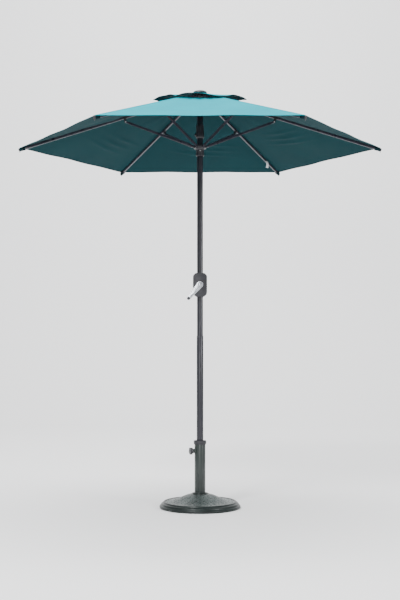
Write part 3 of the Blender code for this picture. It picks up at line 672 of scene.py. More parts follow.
def bar(
    name: str, sections: Sequence[tuple[float, float, float, float]], corner_steps: int = 3
) -> Piece:
    """A bar along X with a rounded rectangle for its section.

    Args:
        name: the object's name.
        sections: (x, half width in Y, half depth in Z, corner radius) along the bar.
        corner_steps: facets in each corner.

    Returns:
        The closed object.
    """
    points: list[Triple] = []
    count = 4 * (corner_steps + 1)
    for x, half_y, half_z, corner in sections:
        for quarter in range(4):
            centre_y = (half_y - corner) * (1 if quarter in (0, 3) else -1)
            centre_z = (half_z - corner) * (1 if quarter in (0, 1) else -1)
            start = quarter * math.pi / 2
            ring = arc((centre_y, centre_z), corner, start, start + math.pi / 2, corner_steps)
            points.extend((x, y, z) for y, z in ring)
    faces: list[list[int]] = []
    for s in range(len(sections) - 1):
        for i in range(count):
            j = (i + 1) % count
            faces.append([s * count + i, s * count + j, (s + 1) * count + j, (s + 1) * count + i])
    faces.append(list(range(count))[::-1])
    faces.append([(len(sections) - 1) * count + i for i in range(count)])
    obj = mesh_object(name, points, faces)
    with editing(obj.data) as outward:
        bmesh.ops.recalc_face_normals(outward, faces=outward.faces)
    return obj


ABOUT_Y = Matrix.Rotation(math.pi / 2, 4, "X")  # takes +Z to -Y
ABOUT_X = Matrix.Rotation(math.pi / 2, 4, "Y")  # takes +Z to +X
TO_MINUS_X = Matrix.Rotation(-math.pi / 2, 4, "Y")  # takes +Z to -X


def at(x: float, y: float, z: float) -> Matrix:
    """A move to a point."""
    return Matrix.Translation((x, y, z))


def azimuth(index: int) -> Matrix:
    """The turn from rib 1 to rib INDEX + 1."""
    return Matrix.Rotation(index * math.tau / RIBS, 4, "Z")


# ------------------------------------------------------------------ geometry node trees


@dataclass
class NodeShape(ABC):
    """A Geometry Nodes tree with named inputs, run once on a mesh."""

    inputs: dict[str, float] = field(default_factory=dict)

    @abstractmethod
    def wire(self, graph: Graph, source: Node) -> Socket:
        """Builds the tree and returns its geometry."""

    def run(self, carrier: Piece, finish: Finish) -> Piece:
        """Runs the tree on CARRIER.

        Args:
            carrier: the mesh that the tree starts from, which is used up.
            finish: what the result is made of.

        Returns:
            CARRIER, which now holds the result as a plain mesh.
        """
        tree = bpy.data.node_groups.new(type(self).__name__, "GeometryNodeTree")
        tree.interface.new_socket("Geometry", in_out="INPUT", socket_type="NodeSocketGeometry")
        sockets = {
            name: tree.interface.new_socket(name, in_out="INPUT", socket_type="NodeSocketFloat")
            for name in self.inputs
        }
        tree.interface.new_socket("Geometry", in_out="OUTPUT", socket_type="NodeSocketGeometry")
        graph = Graph(tree)
        source = graph.add("NodeGroupInput")
        real = graph.add("GeometryNodeRealizeInstances", {0: self.wire(graph, source)})
        inputs = {"Geometry": real.outputs[0], "Material": finish.material()}
        dressed = graph.add("GeometryNodeSetMaterial", inputs)
        graph.add("NodeGroupOutput", {0: dressed.outputs[0]})
        modifier = carrier.modifiers.new(tree.name, "NODES")
        modifier.node_group = tree
        for name, socket in sockets.items():
            modifier[socket.identifier] = float(self.inputs[name])
        return baked(carrier)


@dataclass
class StitchRun(NodeShape):
    """Stitches laid end to end along the carrier's edges."""

    inputs: dict[str, float] = field(
        default_factory=lambda: {"Pitch": 0.006, "Length": 0.0042, "Thread": 0.0005}
    )

    def wire(self, graph: Graph, source: Node) -> Socket:
        """One short rounded bar for each pitch, lying along the seam.

        Args:
            graph: the tree that the nodes go into.
            source: the tree's input node.

        Returns:
            The geometry that comes out.
        """
        line = graph.add("GeometryNodeMeshToCurve", {0: source.outputs["Geometry"]})
        pitch = {"Curve": line.outputs[0], "Length": source.outputs["Pitch"]}
        spots = graph.add("GeometryNodeResampleCurve", pitch, mode="LENGTH")
        stitch = graph.add("GeometryNodeMeshIcoSphere", {"Radius": 1.0, "Subdivisions": 1})
        half = graph.math("MULTIPLY", source.outputs["Length"], 0.5)
        thread = source.outputs["Thread"]
        size = graph.add("ShaderNodeCombineXYZ", {0: thread, 1: thread, 2: half})
        tangent = graph.add("GeometryNodeInputTangent")
        turn = graph.add("FunctionNodeAlignRotationToVector", {"Vector": tangent.outputs[0]}, axis="Z")
        laid = graph.add(
            "GeometryNodeInstanceOnPoints",
            {
                "Points": spots.outputs[0],
                "Instance": stitch.outputs[0],
                "Rotation": turn.outputs[0],
                "Scale": size.outputs[0],
            },
        )
        return laid.outputs[0]


@dataclass
class BasketRelief(NodeShape):
    """Raises the carrier in a basket weave of paired bars, within a ring."""

    inputs: dict[str, float] = field(
        default_factory=lambda: {
            "Pitch": 0.0300,
            "Bar Half Length": 0.0190,
            "Bar Offset": 0.0058,
            "Bar Half Width": 0.0050,
            "Height": 0.0026,
            "Inner Radius": 0.0515,
            "Outer Radius": 0.2005,
            "Turn": math.pi / 4,
        }
    )

    @staticmethod
    def bars(graph: Graph, source: Node, along: Any, across: Any) -> Socket:
        """A pair of bars that lie side by side.

        Args:
            graph: the tree's graph.
            source: the tree's input node.
            along: distance from the pair's middle, along the bars.
            across: distance from the pair's middle, across them.

        Returns:
            The pair's height there, 0 to 1.
        """
        far = graph.math("ABSOLUTE", graph.math("DIVIDE", along, source.outputs["Bar Half Length"]))
        ends = graph.math("SUBTRACT", 1.0, graph.math("MULTIPLY", graph.math("POWER", far, 4.0), 0.75))
        inside = graph.math("LESS_THAN", far, 1.0)
        offset = graph.math("SUBTRACT", graph.math("ABSOLUTE", across), source.outputs["Bar Offset"])
        side = graph.math("DIVIDE", offset, source.outputs["Bar Half Width"])
        fall = graph.math("POWER", graph.math("ABSOLUTE", side), 2.6)
        round_top = graph.math("MAXIMUM", graph.math("SUBTRACT", 1.0, fall), 0.0)
        profile = graph.math("POWER", round_top, 0.5)
        return graph.math("MULTIPLY", graph.math("MULTIPLY", ends, inside), profile)

    def wire(self, graph: Graph, source: Node) -> Socket:
        """Works out the weave's height at each point, stores it and lifts the point.

        Args:
            graph: the tree that the nodes go into.
            source: the tree's input node.

        Returns:
            The geometry that comes out.
        """
        place = graph.add("GeometryNodeInputPosition").outputs[0]
        turned = graph.add("ShaderNodeVectorRotate", {"Vector": place, "Angle": source.outputs["Turn"]})
        xyz = graph.add("ShaderNodeSeparateXYZ", {0: turned.outputs[0]})
        pitch = source.outputs["Pitch"]
        cells, local = [], []
        for side in xyz.outputs[:2]:
            cells.append(graph.math("ROUND", graph.math("DIVIDE", side, pitch)))
            local.append(graph.math("SUBTRACT", side, graph.math("MULTIPLY", cells[-1], pitch)))
        odd = graph.math("ABSOLUTE", graph.math("MODULO", graph.math("ADD", *cells), 2.0))
        even = graph.math("SUBTRACT", 1.0, odd)

        def chosen(first: Any, second: Any) -> Socket:
            """FIRST in even cells and SECOND in odd ones."""
            return graph.math("ADD", graph.math("MULTIPLY", first, even), graph.math("MULTIPLY", second, odd))

        along, across = chosen(*local), chosen(local[1], local[0])
        beside = graph.math("SUBTRACT", graph.math("ABSOLUTE", across), pitch)
        crossing = self.bars(graph, source, beside, along)
        height = graph.math("MAXIMUM", self.bars(graph, source, along, across), crossing)
        flat = graph.vector("MULTIPLY", place, (1.0, 1.0, 0.0))
        radius = graph.add("ShaderNodeVectorMath", {0: flat}, operation="LENGTH").outputs["Value"]
        normal = graph.add("GeometryNodeInputNormal").outputs[0]
        up = graph.add("ShaderNodeSeparateXYZ", {0: normal}).outputs[2]
        masks = [
            graph.math("GREATER_THAN", radius, source.outputs["Inner Radius"]),
            graph.math("LESS_THAN", radius, source.outputs["Outer Radius"]),
            graph.math("GREATER_THAN", up, 0.3),
        ]
        for mask in masks:
            height = graph.math("MULTIPLY", height, mask)
        stored = graph.add(
            "GeometryNodeStoreNamedAttribute",
            {"Geometry": source.outputs["Geometry"], "Name": "relief", "Value": height},
        )
        rise = graph.math("MULTIPLY", height, source.outputs["Height"])
        lift = graph.add("ShaderNodeCombineXYZ", {2: rise}).outputs[0]
        raised = graph.add("GeometryNodeSetPosition", {"Geometry": stored.outputs[0], "Offset": lift})
        smooth = graph.add("GeometryNodeSetShadeSmooth", {"Geometry": raised.outputs[0]})
        return smooth.outputs[0]


@dataclass
class ScrewHeads(NodeShape):
    """A pan-head screw on each of the carrier's points, facing along -Y."""

    inputs: dict[str, float] = field(default_factory=lambda: {"Head Radius": 0.0036, "Head Height": 0.0022})

    def wire(self, graph: Graph, source: Node) -> Socket:
        """A low cone with a narrower cylinder for its driver recess.

        Args:
            graph: the tree that the nodes go into.
            source: the tree's input node.

        Returns:
            The geometry that comes out.
        """
        radius, height = source.outputs["Head Radius"], source.outputs["Head Height"]
        top = graph.math("MULTIPLY", radius, 0.72)
        head = graph.add(
            "GeometryNodeMeshCone",
            {"Vertices": 24, "Radius Top": top, "Radius Bottom": radius, "Depth": height},
        )
        recess = graph.math("MULTIPLY", radius, 0.34)
        deep = graph.math("MULTIPLY", height, 1.12)
        rim = graph.add(
            "GeometryNodeMeshCone",
            {"Vertices": 6, "Radius Top": recess, "Radius Bottom": recess, "Depth": deep},
        )
        both = graph.add("GeometryNodeJoinGeometry")
        graph.tree.links.new(head.outputs[0], both.inputs[0])
        graph.tree.links.new(rim.outputs[0], both.inputs[0])
        laid = graph.add(
            "GeometryNodeInstanceOnPoints",
            {
                "Points": graph.add("GeometryNodeMeshToPoints", {0: source.outputs["Geometry"]}).outputs[0],
                "Instance": both.outputs[0],
                "Rotation": (math.pi / 2, 0.0, 0.0),
            },
        )
        return laid.outputs[0]


# ------------------------------------------------------------------ the rig


@dataclass(frozen=True)
class Rig:
    """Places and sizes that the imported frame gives."""

    pin_ring: float
    crown: float
    joint_radius: float
    joint_height: float
    runner: float
    slope: float
    rib_end: float
    rib_length: float
    crank: Vector
    grip: Vector

    @classmethod
    def read(cls, frame: dict[str, Any]) -> Rig:
        """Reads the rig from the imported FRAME.


        Returns:
            The rig.
        """
        joints = {joint["name"]: joint for joint in frame["record"]["behaviour"]["joints"]}
        pin = Vector(joints["canopy_fold"]["pos_m"])
        strut = Vector(joints["strut_1_turn"]["pos_m"])
        rib = [v.co for v in frame["nodes"]["rib_1"].data.vertices]
        reach = max(p.x for p in rib)
        end_face = [p for p in rib if p.x > reach - 0.006]
        end = sum(end_face, Vector()) / len(end_face)
        slope = math.atan2(pin.z - end.z, end.x - pin.x)
        along = Vector((math.cos(slope), 0.0, -math.sin(slope)))
        tips = [(v.co - pin).dot(along) for v in frame["nodes"]["rib_tip_1"].data.vertices]
        return cls(
            pin_ring=pin.x,
            crown=pin.z,
            joint_radius=strut.x,
            joint_height=strut.z,
            runner=joints["runner_level"]["pos_m"][2],
            slope=slope,
            rib_end=(end - pin).length,
            rib_length=max(tips),
            crank=Vector(joints["crank_turn"]["pos_m"]),
            grip=Vector(joints["crank_grip_spin"]["pos_m"]),
        )

    @property
    def strut_length(self) -> float:
        """Pivot to pivot."""
        return math.hypot(self.joint_radius - self.pin_ring, self.crown - self.joint_height)

    def rib_frame(self, index: int) -> Matrix:
        """Rib INDEX's own frame: +X out along the rib, +Z to its upper side."""
        return azimuth(index) @ at(self.pin_ring, 0, self.crown) @ Matrix.Rotation(self.slope, 4, "Y")

    def strut_frame(self, index: int) -> Matrix:
        """Strut INDEX's own frame, at its outer pivot, with -X towards the runner."""
        pitch = -math.atan2(self.crown - self.joint_height, self.joint_radius - self.pin_ring)
        return azimuth(index) @ at(self.joint_radius, 0, self.joint_height) @ Matrix.Rotation(pitch, 4, "Y")

    @property
    def up(self) -> np.ndarray:
        """Square to the upper side of rib 1."""
        return np.array([math.sin(self.slope), 0, math.cos(self.slope)])

    def rib_height(self, radius: float) -> float:
        """Height of a rib's centre line at RADIUS."""
        return self.crown - (radius - self.pin_ring) * math.tan(self.slope)


def crumple(piece: Piece, rig: Rig, index: int) -> None:
    """Gives PIECE its own copy of its mesh.

    Args:
        piece: the cloth or stitching.
        rig: where the ribs are.
        index: which rib.
    """
    anchor = rig.rib_frame(index).translation
    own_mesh(piece)


@dataclass
class SubAssembly(ABC):
    """A group of pieces that is built and dressed together."""

    rig: Rig
    finishes: Finishes

    @abstractmethod
    def build(self) -> list[Piece]:
        """Makes the pieces and puts each on its body."""

    @staticmethod
    def settle(
        piece: Piece, body: str, slot: Slot, replaces: Iterable[str] = ()
    ) -> Piece:
        """Puts a finished piece in its place in the model.

        Args:
            piece: the piece, with its mesh final.
            body: what it rides on.
            slot: the record's material slot for it; not used.
            replaces: the nodes that it stands for.

        Returns:
            The piece.
        """
        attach(piece, body)
        nodes = list(replaces)
        if nodes:
            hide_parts(*nodes)
        return piece


# ------------------------------------------------------------------ cloth


def plied(name: str, middle: np.ndarray, half: np.ndarray) -> Piece:
    """A closed sheet from a grid of points.

    Args:
        name: the object's name.
        middle: the grid of points, with x, y and z in the last axis.
        half: from each point to the upper face.

    Returns:
        The object: its upper faces first, then the lower ones, then the walls.
    """
    rows, columns = middle.shape[:2]
    points = np.concatenate([(middle + half).reshape(-1, 3), (middle - half).reshape(-1, 3)])
    number = np.arange(rows * columns).reshape(rows, columns)
    below = rows * columns
    corners = [number[:-1, :-1], number[1:, :-1], number[1:, 1:], number[:-1, 1:]]
    upper = np.stack(corners, axis=-1).reshape(-1, 4)
    border = np.concatenate([number[0, :], number[1:, -1], number[-1, -2::-1], number[-2:0:-1, 0]])
    following = np.roll(border, -1)
    walls = np.stack([border, following, following + below, border + below], axis=-1)
    return mesh_object(name, points, np.concatenate([upper, upper[:, ::-1] + below, walls]))


@dataclass
class PanelledCloth(SubAssembly):
    """A cloth of six panels, made as six sectors that meet in the middle of the panels."""

    name: str = "cloth"
    node: str = "canopy"
    inner: float = 0.2
    outer: float = 1.0
    keep: float = 0.1
    thickness: float = 0.0009
    hem: float = 0.014
    seam: float = 0.009
    binding_half: float = 0.0
    rows: int = 112
    side_columns: int = 15
    held: str = "stretched"

    def height(self, radius: np.ndarray) -> np.ndarray:
        """Height of the cloth over a rib at RADIUS."""
        raise NotImplementedError

    def sag(self, share: np.ndarray) -> np.ndarray:
        """How far the middle of a panel hangs below the ribs, at SHARE of the way out."""
        raise NotImplementedError

    def crease(self, panel: int, across: np.ndarray, share: np.ndarray) -> np.ndarray:
        """Height of the folds in PANEL at ACROSS, 0 to 1 from rib to rib, and SHARE."""
        raise NotImplementedError

    def bow(self, share: np.ndarray) -> np.ndarray:
        """How far the cloth's edge is drawn in between two ribs."""
        return 0.0 * share

    def surface(self, index: int, radius: np.ndarray, t: np.ndarray) -> np.ndarray:
        """Points of the sector on rib INDEX, in rib 1's azimuth.

        Args:
            index: which rib the sector hangs on.
            radius: distance from the pole along the rib.
            t: -1 to 1 across the sector, 0 on the rib.

        Returns:
            Points, with x, y and z in the last axis.
        """
        share = (radius - self.inner) / (self.outer - self.inner)
        side = np.abs(t)
        across = np.where(t >= 0, t / 2, 1 + t / 2)
        panel_here = self.crease(index, across, share)
        panel_before = self.crease((index - 1) % RIBS, across, share)
        fold = np.where(t >= 0, panel_here, panel_before)
        drawn = radius - self.bow(share) * (2 * side - side**2)
        x = drawn * (1 - side / 4)
        y = t * drawn * HALF_WIDTH
        z = self.height(radius) - self.sag(share) * (2 * side - side**2) + fold
        return np.stack([x, y, z], axis=-1)

    @property
    def inner_hem(self) -> float:
        """Where the inner edge's hem ends."""
        return self.inner + self.hem * 0.6

    @property
    def outer_hem(self) -> float:
        """Where the outer edge's hem starts."""
        return self.outer - self.hem

    def radii(self) -> np.ndarray:
        """Rows from the inner edge out, with the two hems drawn sharp.

        Returns:
            Distances from the pole, in order.
        """
        edge = 0.0012
        start = [radius + step for radius in (self.inner, self.inner_hem) for step in (0.0, edge)]
        end = [radius - step for radius in (self.outer_hem, self.outer) for step in (edge, 0.0)]
        middle = np.linspace(start[-1], end[0], self.rows)[1:-1]
        return np.array([*start, *middle, *end])

    def crossings(self, radius: np.ndarray) -> np.ndarray:
        """Columns across each row: the rib's seam at its true width, then out to mid-panel.

        Args:
            radius: distance from the pole along the rib.

        Returns:
            A value of t for each row and column.
        """
        seam = np.minimum(self.seam / (radius * HALF_WIDTH), 0.5)[:, None]
        edge = seam * 1.12
        out = np.linspace(0, 1, self.side_columns + 1)[None, :] ** 0.9
        side = np.concatenate([seam * 0.5, seam, edge + (1 - edge) * out], axis=1)
        return np.concatenate([-side[:, ::-1], 0 * seam, side], axis=1)

    def half_thickness(self, radius: np.ndarray, t: np.ndarray) -> np.ndarray:
        """Half the cloth's thickness, more where a hem or seam doubles it.

        Args:
            radius: distance from the pole along the rib.
            t: -1 to 1 across the sector, 0 on the rib.

        Returns:
            Half thicknesses, in metres.
        """
        hemmed = (radius < self.inner_hem + 1e-5) | (radius > self.outer_hem - 1e-5)
        over_rib = np.abs(t) * radius * HALF_WIDTH < self.seam * 1.01
        layers = 1 + 0.9 * hemmed + 0.7 * over_rib
        rim = np.minimum(radius - self.inner, self.outer - radius) < 1e-6
        return self.thickness / 2 * layers * np.where(rim, 0.35, 1.0)

    def sheet(self, index: int) -> Piece:
        """The closed sheet of one sector and its UV map: the cloth's colour above, a darker copy of it below
        as painted shade, and darker still on the hem band and walls.

        Args:
            index: which rib, counted from 0.

        Returns:
            The sheet, turned to its rib.
        """
        radii = self.radii()
        t = self.crossings(radii)
        radius = np.repeat(radii[:, None], t.shape[1], axis=1)
        middle = self.surface(index, radius, t)
        half = self.half_thickness(radius, t)[..., None] * self.rig.up
        obj = smoothed(plied(f"{self.name}_{index + 1}", middle, half), self.finishes.cloth_top, 45)
        mesh = obj.data
        for finish in (self.finishes.cloth_under, self.finishes.hem_tape):
            mesh.materials.append(finish.material())
        # material 1 paints the shade of the underside, and material 2 a deeper painted shade on the hem band
        # and walls
        top, underside, tape = 0, 1, 2
        lower = np.full((radius.shape[0] - 1, radius.shape[1] - 1), underside, np.int32)
        lower[radii[1:] > self.outer_hem + 1e-5] = tape
        walls = np.full(len(mesh.polygons) - 2 * lower.size, tape, np.int32)
        which = np.concatenate([np.full(lower.size, top, np.int32), lower.ravel(), walls])
        mesh.polygons.foreach_set("material_index", which)
        self.lay_uv(mesh, radius, t)
        return moved(obj, azimuth(index))

    def binding(self, index: int) -> Piece:
        """The felled seam over the rib, at one width all along.

        Args:
            index: which rib, counted from 0.

        Returns:
            The strip, turned to its rib.
        """
        radii = self.radii()[2:-2]
        share = np.array([-1.0, -0.9, 0.0, 0.9, 1.0])[None, :]
        t = share * self.binding_half / (radii[:, None] * HALF_WIDTH)
        radius = np.repeat(radii[:, None], share.size, axis=1)
        ply = np.where(np.abs(share) < 1, self.thickness, self.thickness / 2) / 2 + 0.0 * radius
        clear = 0.00004
        raise_by = (0.85 * self.thickness + ply + clear)[..., None] * self.rig.up
        middle = self.surface(index, radius, t) + raise_by
        obj = plied(f"{self.name}_seam_{index + 1}", middle, ply[..., None] * self.rig.up)
        self.lay_uv(smoothed(obj, self.finishes.cloth_top, 45).data, radius, t)
        return moved(obj, azimuth(index))

    @staticmethod
    def lay_uv(mesh: bpy.types.Mesh, radius: np.ndarray, t: np.ndarray) -> None:
        """Writes a UV map in metres, its V out along the middle of each panel.

        Args:
            mesh: the sheet's mesh, with its upper points first and then as many lower ones.
            radius: distance from the pole along the rib.
            t: -1 to 1 across the sector, 0 on the rib.
        """
        radius, t = np.tile(radius.ravel(), 2), np.tile(t.ravel(), 2)
        corners = np.zeros(len(mesh.loops), np.int32)
        mesh.loops.foreach_get("vertex_index", corners)
        face_of = np.repeat(np.arange(len(mesh.polygons)), [p.loop_total for p in mesh.polygons])
        total = np.bincount(face_of, t[corners])
        side = np.where(total[face_of] >= 0, 1.0, -1.0)
        u = side * (np.abs(t[corners]) / 2 - 0.5) * radius[corners]
        v = radius[corners] * math.cos(math.pi / 6)
        layer = mesh.uv_layers.new(name="UVMap")
        layer.data.foreach_set("uv", np.stack([u, v], axis=-1).ravel())

    def stitch_lines(self, index: int) -> Piece:
        """The paths of the sector's stitches: one in the hem and two beside the rib.

        Args:
            index: which rib, counted from 0.

        Returns:
            A mesh of loose edges, for StitchRun.
        """
        hem_t = np.linspace(-0.985, 0.985, 61)
        insets = (0.0025, self.hem - 0.0025)
        lines = [(np.full(hem_t.size, self.outer - inset), hem_t) for inset in insets]
        along = np.linspace(self.inner + 0.012, self.outer_hem, 80)
        lines += [(along, side * 0.7 * self.seam / (along * HALF_WIDTH)) for side in (-1, 1)]
        points, edges = [], []
        for radius, t in lines:
            path = self.surface(index, radius, t)
            for offset in (1, -1):
                start = len(points)
                rise = offset * (self.half_thickness(radius, t) + 0.0001)[:, None] * np.array([0, 0, 1.0])
                points.extend(path + rise)
                edges.extend((start + i, start + i + 1) for i in range(len(radius) - 1))
        return mesh_object(f"{self.name}_stitching_{index + 1}", points, edges=edges)

    def flat_cut(self) -> tuple[tuple[float, float], float]:
        """The sector's flat size: its bounding rectangle and its area.

        Returns:
            Width and length, then area.
        """
        rise = 1 / math.cos(self.rig.slope)
        width = self.outer * 2 * HALF_WIDTH
        length = (self.outer - self.inner) * rise
        area = HALF_WIDTH * (self.outer**2 - self.inner**2) * rise
        return (width, length), area

    def build(self) -> list[Piece]:
        """Six sectors and their stitching, each on its rib.

        Returns:
            The pieces.
        """
        pieces = []
        for index in range(RIBS):
            body = f"rib_{index + 1}"
            stitching = StitchRun().run(self.stitch_lines(index), self.finishes.hem_thread)
            moved(stitching, azimuth(index))
            cloth = self.sheet(index)
            for piece in (cloth, stitching):
                self.settle(piece, body, Slot.CLOTH)
                crumple(piece, self.rig, index)
            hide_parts(f"{self.node}_{index + 1}")
            bindings = [self.settle(self.binding(index), body, Slot.CLOTH)] if self.binding_half else []
            pieces += [cloth, stitching, *bindings]
        return pieces


def ripple(seed: int, turns: float, x: np.ndarray) -> np.ndarray:
    """A wave of TURNS cycles over x = 0..1, with a phase that depends on SEED."""
    return np.sin(math.tau * (turns * x + 0.381966 * seed))


@dataclass
class MainCanopy(PanelledCloth):
    """The big cloth, from the vent hole to the rib ends."""

    name: str = "canopy_cloth"
    node: str = "canopy"
    keep: float = 0.045
    binding_half: float = 0.0056
    lift: float = 0.0110
    top_sag: float = 0.006
    middle_sag: float = 0.009
    edge_bow: float = 0.006
    fan: float = 0.0016
    drag: float = 0.0011
    flutter: float = 0.0022
    tuck: float = 0.0065

    def __post_init__(self) -> None:
        """Takes the edges from the plain cloth that the frame carries."""
        low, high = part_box("canopy_1")
        self.inner = low.x / MID_PANEL
        self.outer = high.x - 0.0006

    def height(self, radius: np.ndarray) -> np.ndarray:
        """Straight along the rib, just above it."""
        lift = self.lift / math.cos(self.rig.slope)
        return self.rig.crown + lift - (radius - self.rig.pin_ring) * math.tan(self.rig.slope)

    def sag(self, share: np.ndarray) -> np.ndarray:
        """Deepest half way out."""
        return self.top_sag * (1 - share) + 4 * self.middle_sag * share * (1 - share)

    def bow(self, share: np.ndarray) -> np.ndarray:
        """The hem between two corners is drawn in a little."""
        return self.edge_bow * share**3

    def crease(self, panel: int, across: np.ndarray, share: np.ndarray) -> np.ndarray:
        """Gathers under the vent, drag lines from the corners, and a fluttering hem.

        Args:
            panel: which panel, counted from 0.
            across: 0 to 1 from rib to rib.
            share: 0 to 1 from the inner edge out.

        Returns:
            Heights, in metres.
        """
        held = np.sin(math.pi * across)
        gathers = self.fan * np.exp(-((share / 0.30) ** 2)) * ripple(panel, 4.5, across)
        drags = self.drag * ripple(panel + 3, 2.2, across + 0.6 * share) * np.sqrt(np.clip(share, 0, 1))
        flutter = self.flutter * share**6 * ripple(panel + 5, 2.6, across)
        tucks = np.zeros_like(share * across)
        for number in range(3):
            start = 0.46 + 0.085 * number + 0.04 * (panel % 3)
            away = share - start + (0.12 + 0.03 * number) * (across - 0.45)
            reach = np.exp(-(((across - 0.36 - 0.07 * number) / 0.20) ** 2))
            tucks -= self.tuck * reach * np.exp(-((away / 0.020) ** 2))
        return held * (gathers + drags + flutter + tucks)


@dataclass
class VentCloth(PanelledCloth):
    """The small cloth under the top cap, arched up between the ribs."""

    name: str = "vent_cloth"
    node: str = "vent"
    keep: float = 0.30
    hem: float = 0.010
    rows: int = 34
    arch: float = 0.016
    corner_lifts: tuple[float, ...] = (0.024, 0.004, 0.004, 0.024, -0.008, -0.008)
    edge_waves: tuple[float, ...] = (0.003, -0.003, 0.002, -0.002, 0.008, -0.003)

    def __post_init__(self) -> None:
        """Takes the edges and heights from the plain vent that the frame carries."""
        low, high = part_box("vent_1")
        self.inner = low.x / MID_PANEL
        self.outer = high.x - 0.0004
        points = [v.co for v in bpy.data.objects["vent_1"].data.vertices if abs(v.co.y) < 1e-4]
        self.top = max(p.z for p in points) - 0.0006
        self.corner = min(p.z for p in points) + 0.0006

    def height(self, radius: np.ndarray) -> np.ndarray:
        """Straight from the crown to the corner."""
        share = (radius - self.inner) / (self.outer - self.inner)
        return self.top + (self.corner - self.top) * share

    def sag(self, share: np.ndarray) -> np.ndarray:
        """Negative, because the edge arches up."""
        return -self.arch * share**2

    def crease(self, panel: int, across: np.ndarray, share: np.ndarray) -> np.ndarray:
        """Soft folds from the cap to the edge, on corners that float at unlike heights.

        Args:
            panel: which panel, counted from 0.
            across: 0 to 1 from rib to rib.
            share: 0 to 1 from the inner edge out.

        Returns:
            Heights, in metres.
        """
        held = np.sin(math.pi * across)
        lifts = self.corner_lifts[panel], self.corner_lifts[(panel + 1) % RIBS]
        lift = share * (lifts[0] * (1 - across) + lifts[1] * across)
        fan = 0.0012 * ripple(panel, 3.5, across) * (1 - share)
        edge = 0.0030 * share**2 * ripple(panel + 2, 1.5, across)
        wave = self.edge_waves[panel] * share**2 * np.sin(math.tau * across)
        return lift + wave + held * (fan + edge)


@dataclass
class ClothTrim(SubAssembly):
    """Corner pockets over the rib ends and the blank care label."""

    pocket_girth: float = 0.064
    pocket_length: float = 0.034
    pocket_wall: float = 0.0009
    label_width: float = 0.036
    label_drop: float = 0.044
    label_radius: float = 0.883
    label_wall: float = 0.0005

    def pocket(self) -> Piece:
        """A flat sleeve of cloth round the end of a rib, open towards the crown.

        Returns:
            The pocket in its rib's frame.
        """
        end = self.rig.rib_length - 0.007
        outer = [
            (end - self.pocket_length, 0.0118, 0.0106, 0.0055),
            (end - self.pocket_length * 0.5, 0.0098, 0.0101, 0.0055),
            (end, 0.0085, 0.0098, 0.0050),
        ]
        sleeve = bar("corner_pocket", outer, 4)
        with editing(sleeve.data) as opened:
            ends = [f for f in opened.faces if abs(f.normal.x) > 0.99]
            bmesh.ops.delete(opened, geom=ends, context="FACES_ONLY")
        # the pocket is made in the hem's painted-shade cloth
        return smoothed(walled(sleeve, self.pocket_wall, -1), self.finishes.hem_tape, 50)

    def care_label(self) -> Piece:
        """A blank white tape that hangs beside the rear rib on a fold.

        Returns:
            The label.
        """
        steps = 10
        drop = np.linspace(0, self.label_drop, steps + 1)
        curl = 0.006 * np.sin(drop / self.label_drop * math.pi * 0.9)
        sides = (-0.5 * self.label_width, 0.5 * self.label_width)
        points = [(side, -0.0075 - out, -down) for side in sides for down, out in zip(drop, curl)]
        faces = [(i, steps + 1 + i, steps + 2 + i, i + 1) for i in range(steps)]
        tape = mesh_object("care_label", points, faces)
        layer = tape.data.uv_layers.new(name="UVMap")
        for loop in tape.data.loops:
            point = tape.data.vertices[loop.vertex_index].co
            layer.data[loop.index].uv = (point.x, point.z)
        smoothed(walled(tape, self.label_wall, 0), self.finishes.label, 50)
        height = self.rig.rib_height(self.label_radius) - 0.004
        return moved(tape, azimuth(1) @ at(self.label_radius, 0, height))

    def build(self) -> list[Piece]:
        """Six pockets and the label.

        Returns:
            The pieces.
        """
        pattern = self.pocket()
        pieces = []
        for index in range(RIBS):
            piece = copy_of(pattern, f"corner_pocket_{index + 1}", self.rig.rib_frame(index))
            self.settle(piece, f"rib_{index + 1}", Slot.CLOTH)
            pieces.append(piece)
        bpy.data.objects.remove(pattern)
        label = self.settle(self.care_label(), "rib_2", Slot.CLOTH)
        return [*pieces, label]


# ------------------------------------------------------------------ ribs and struts


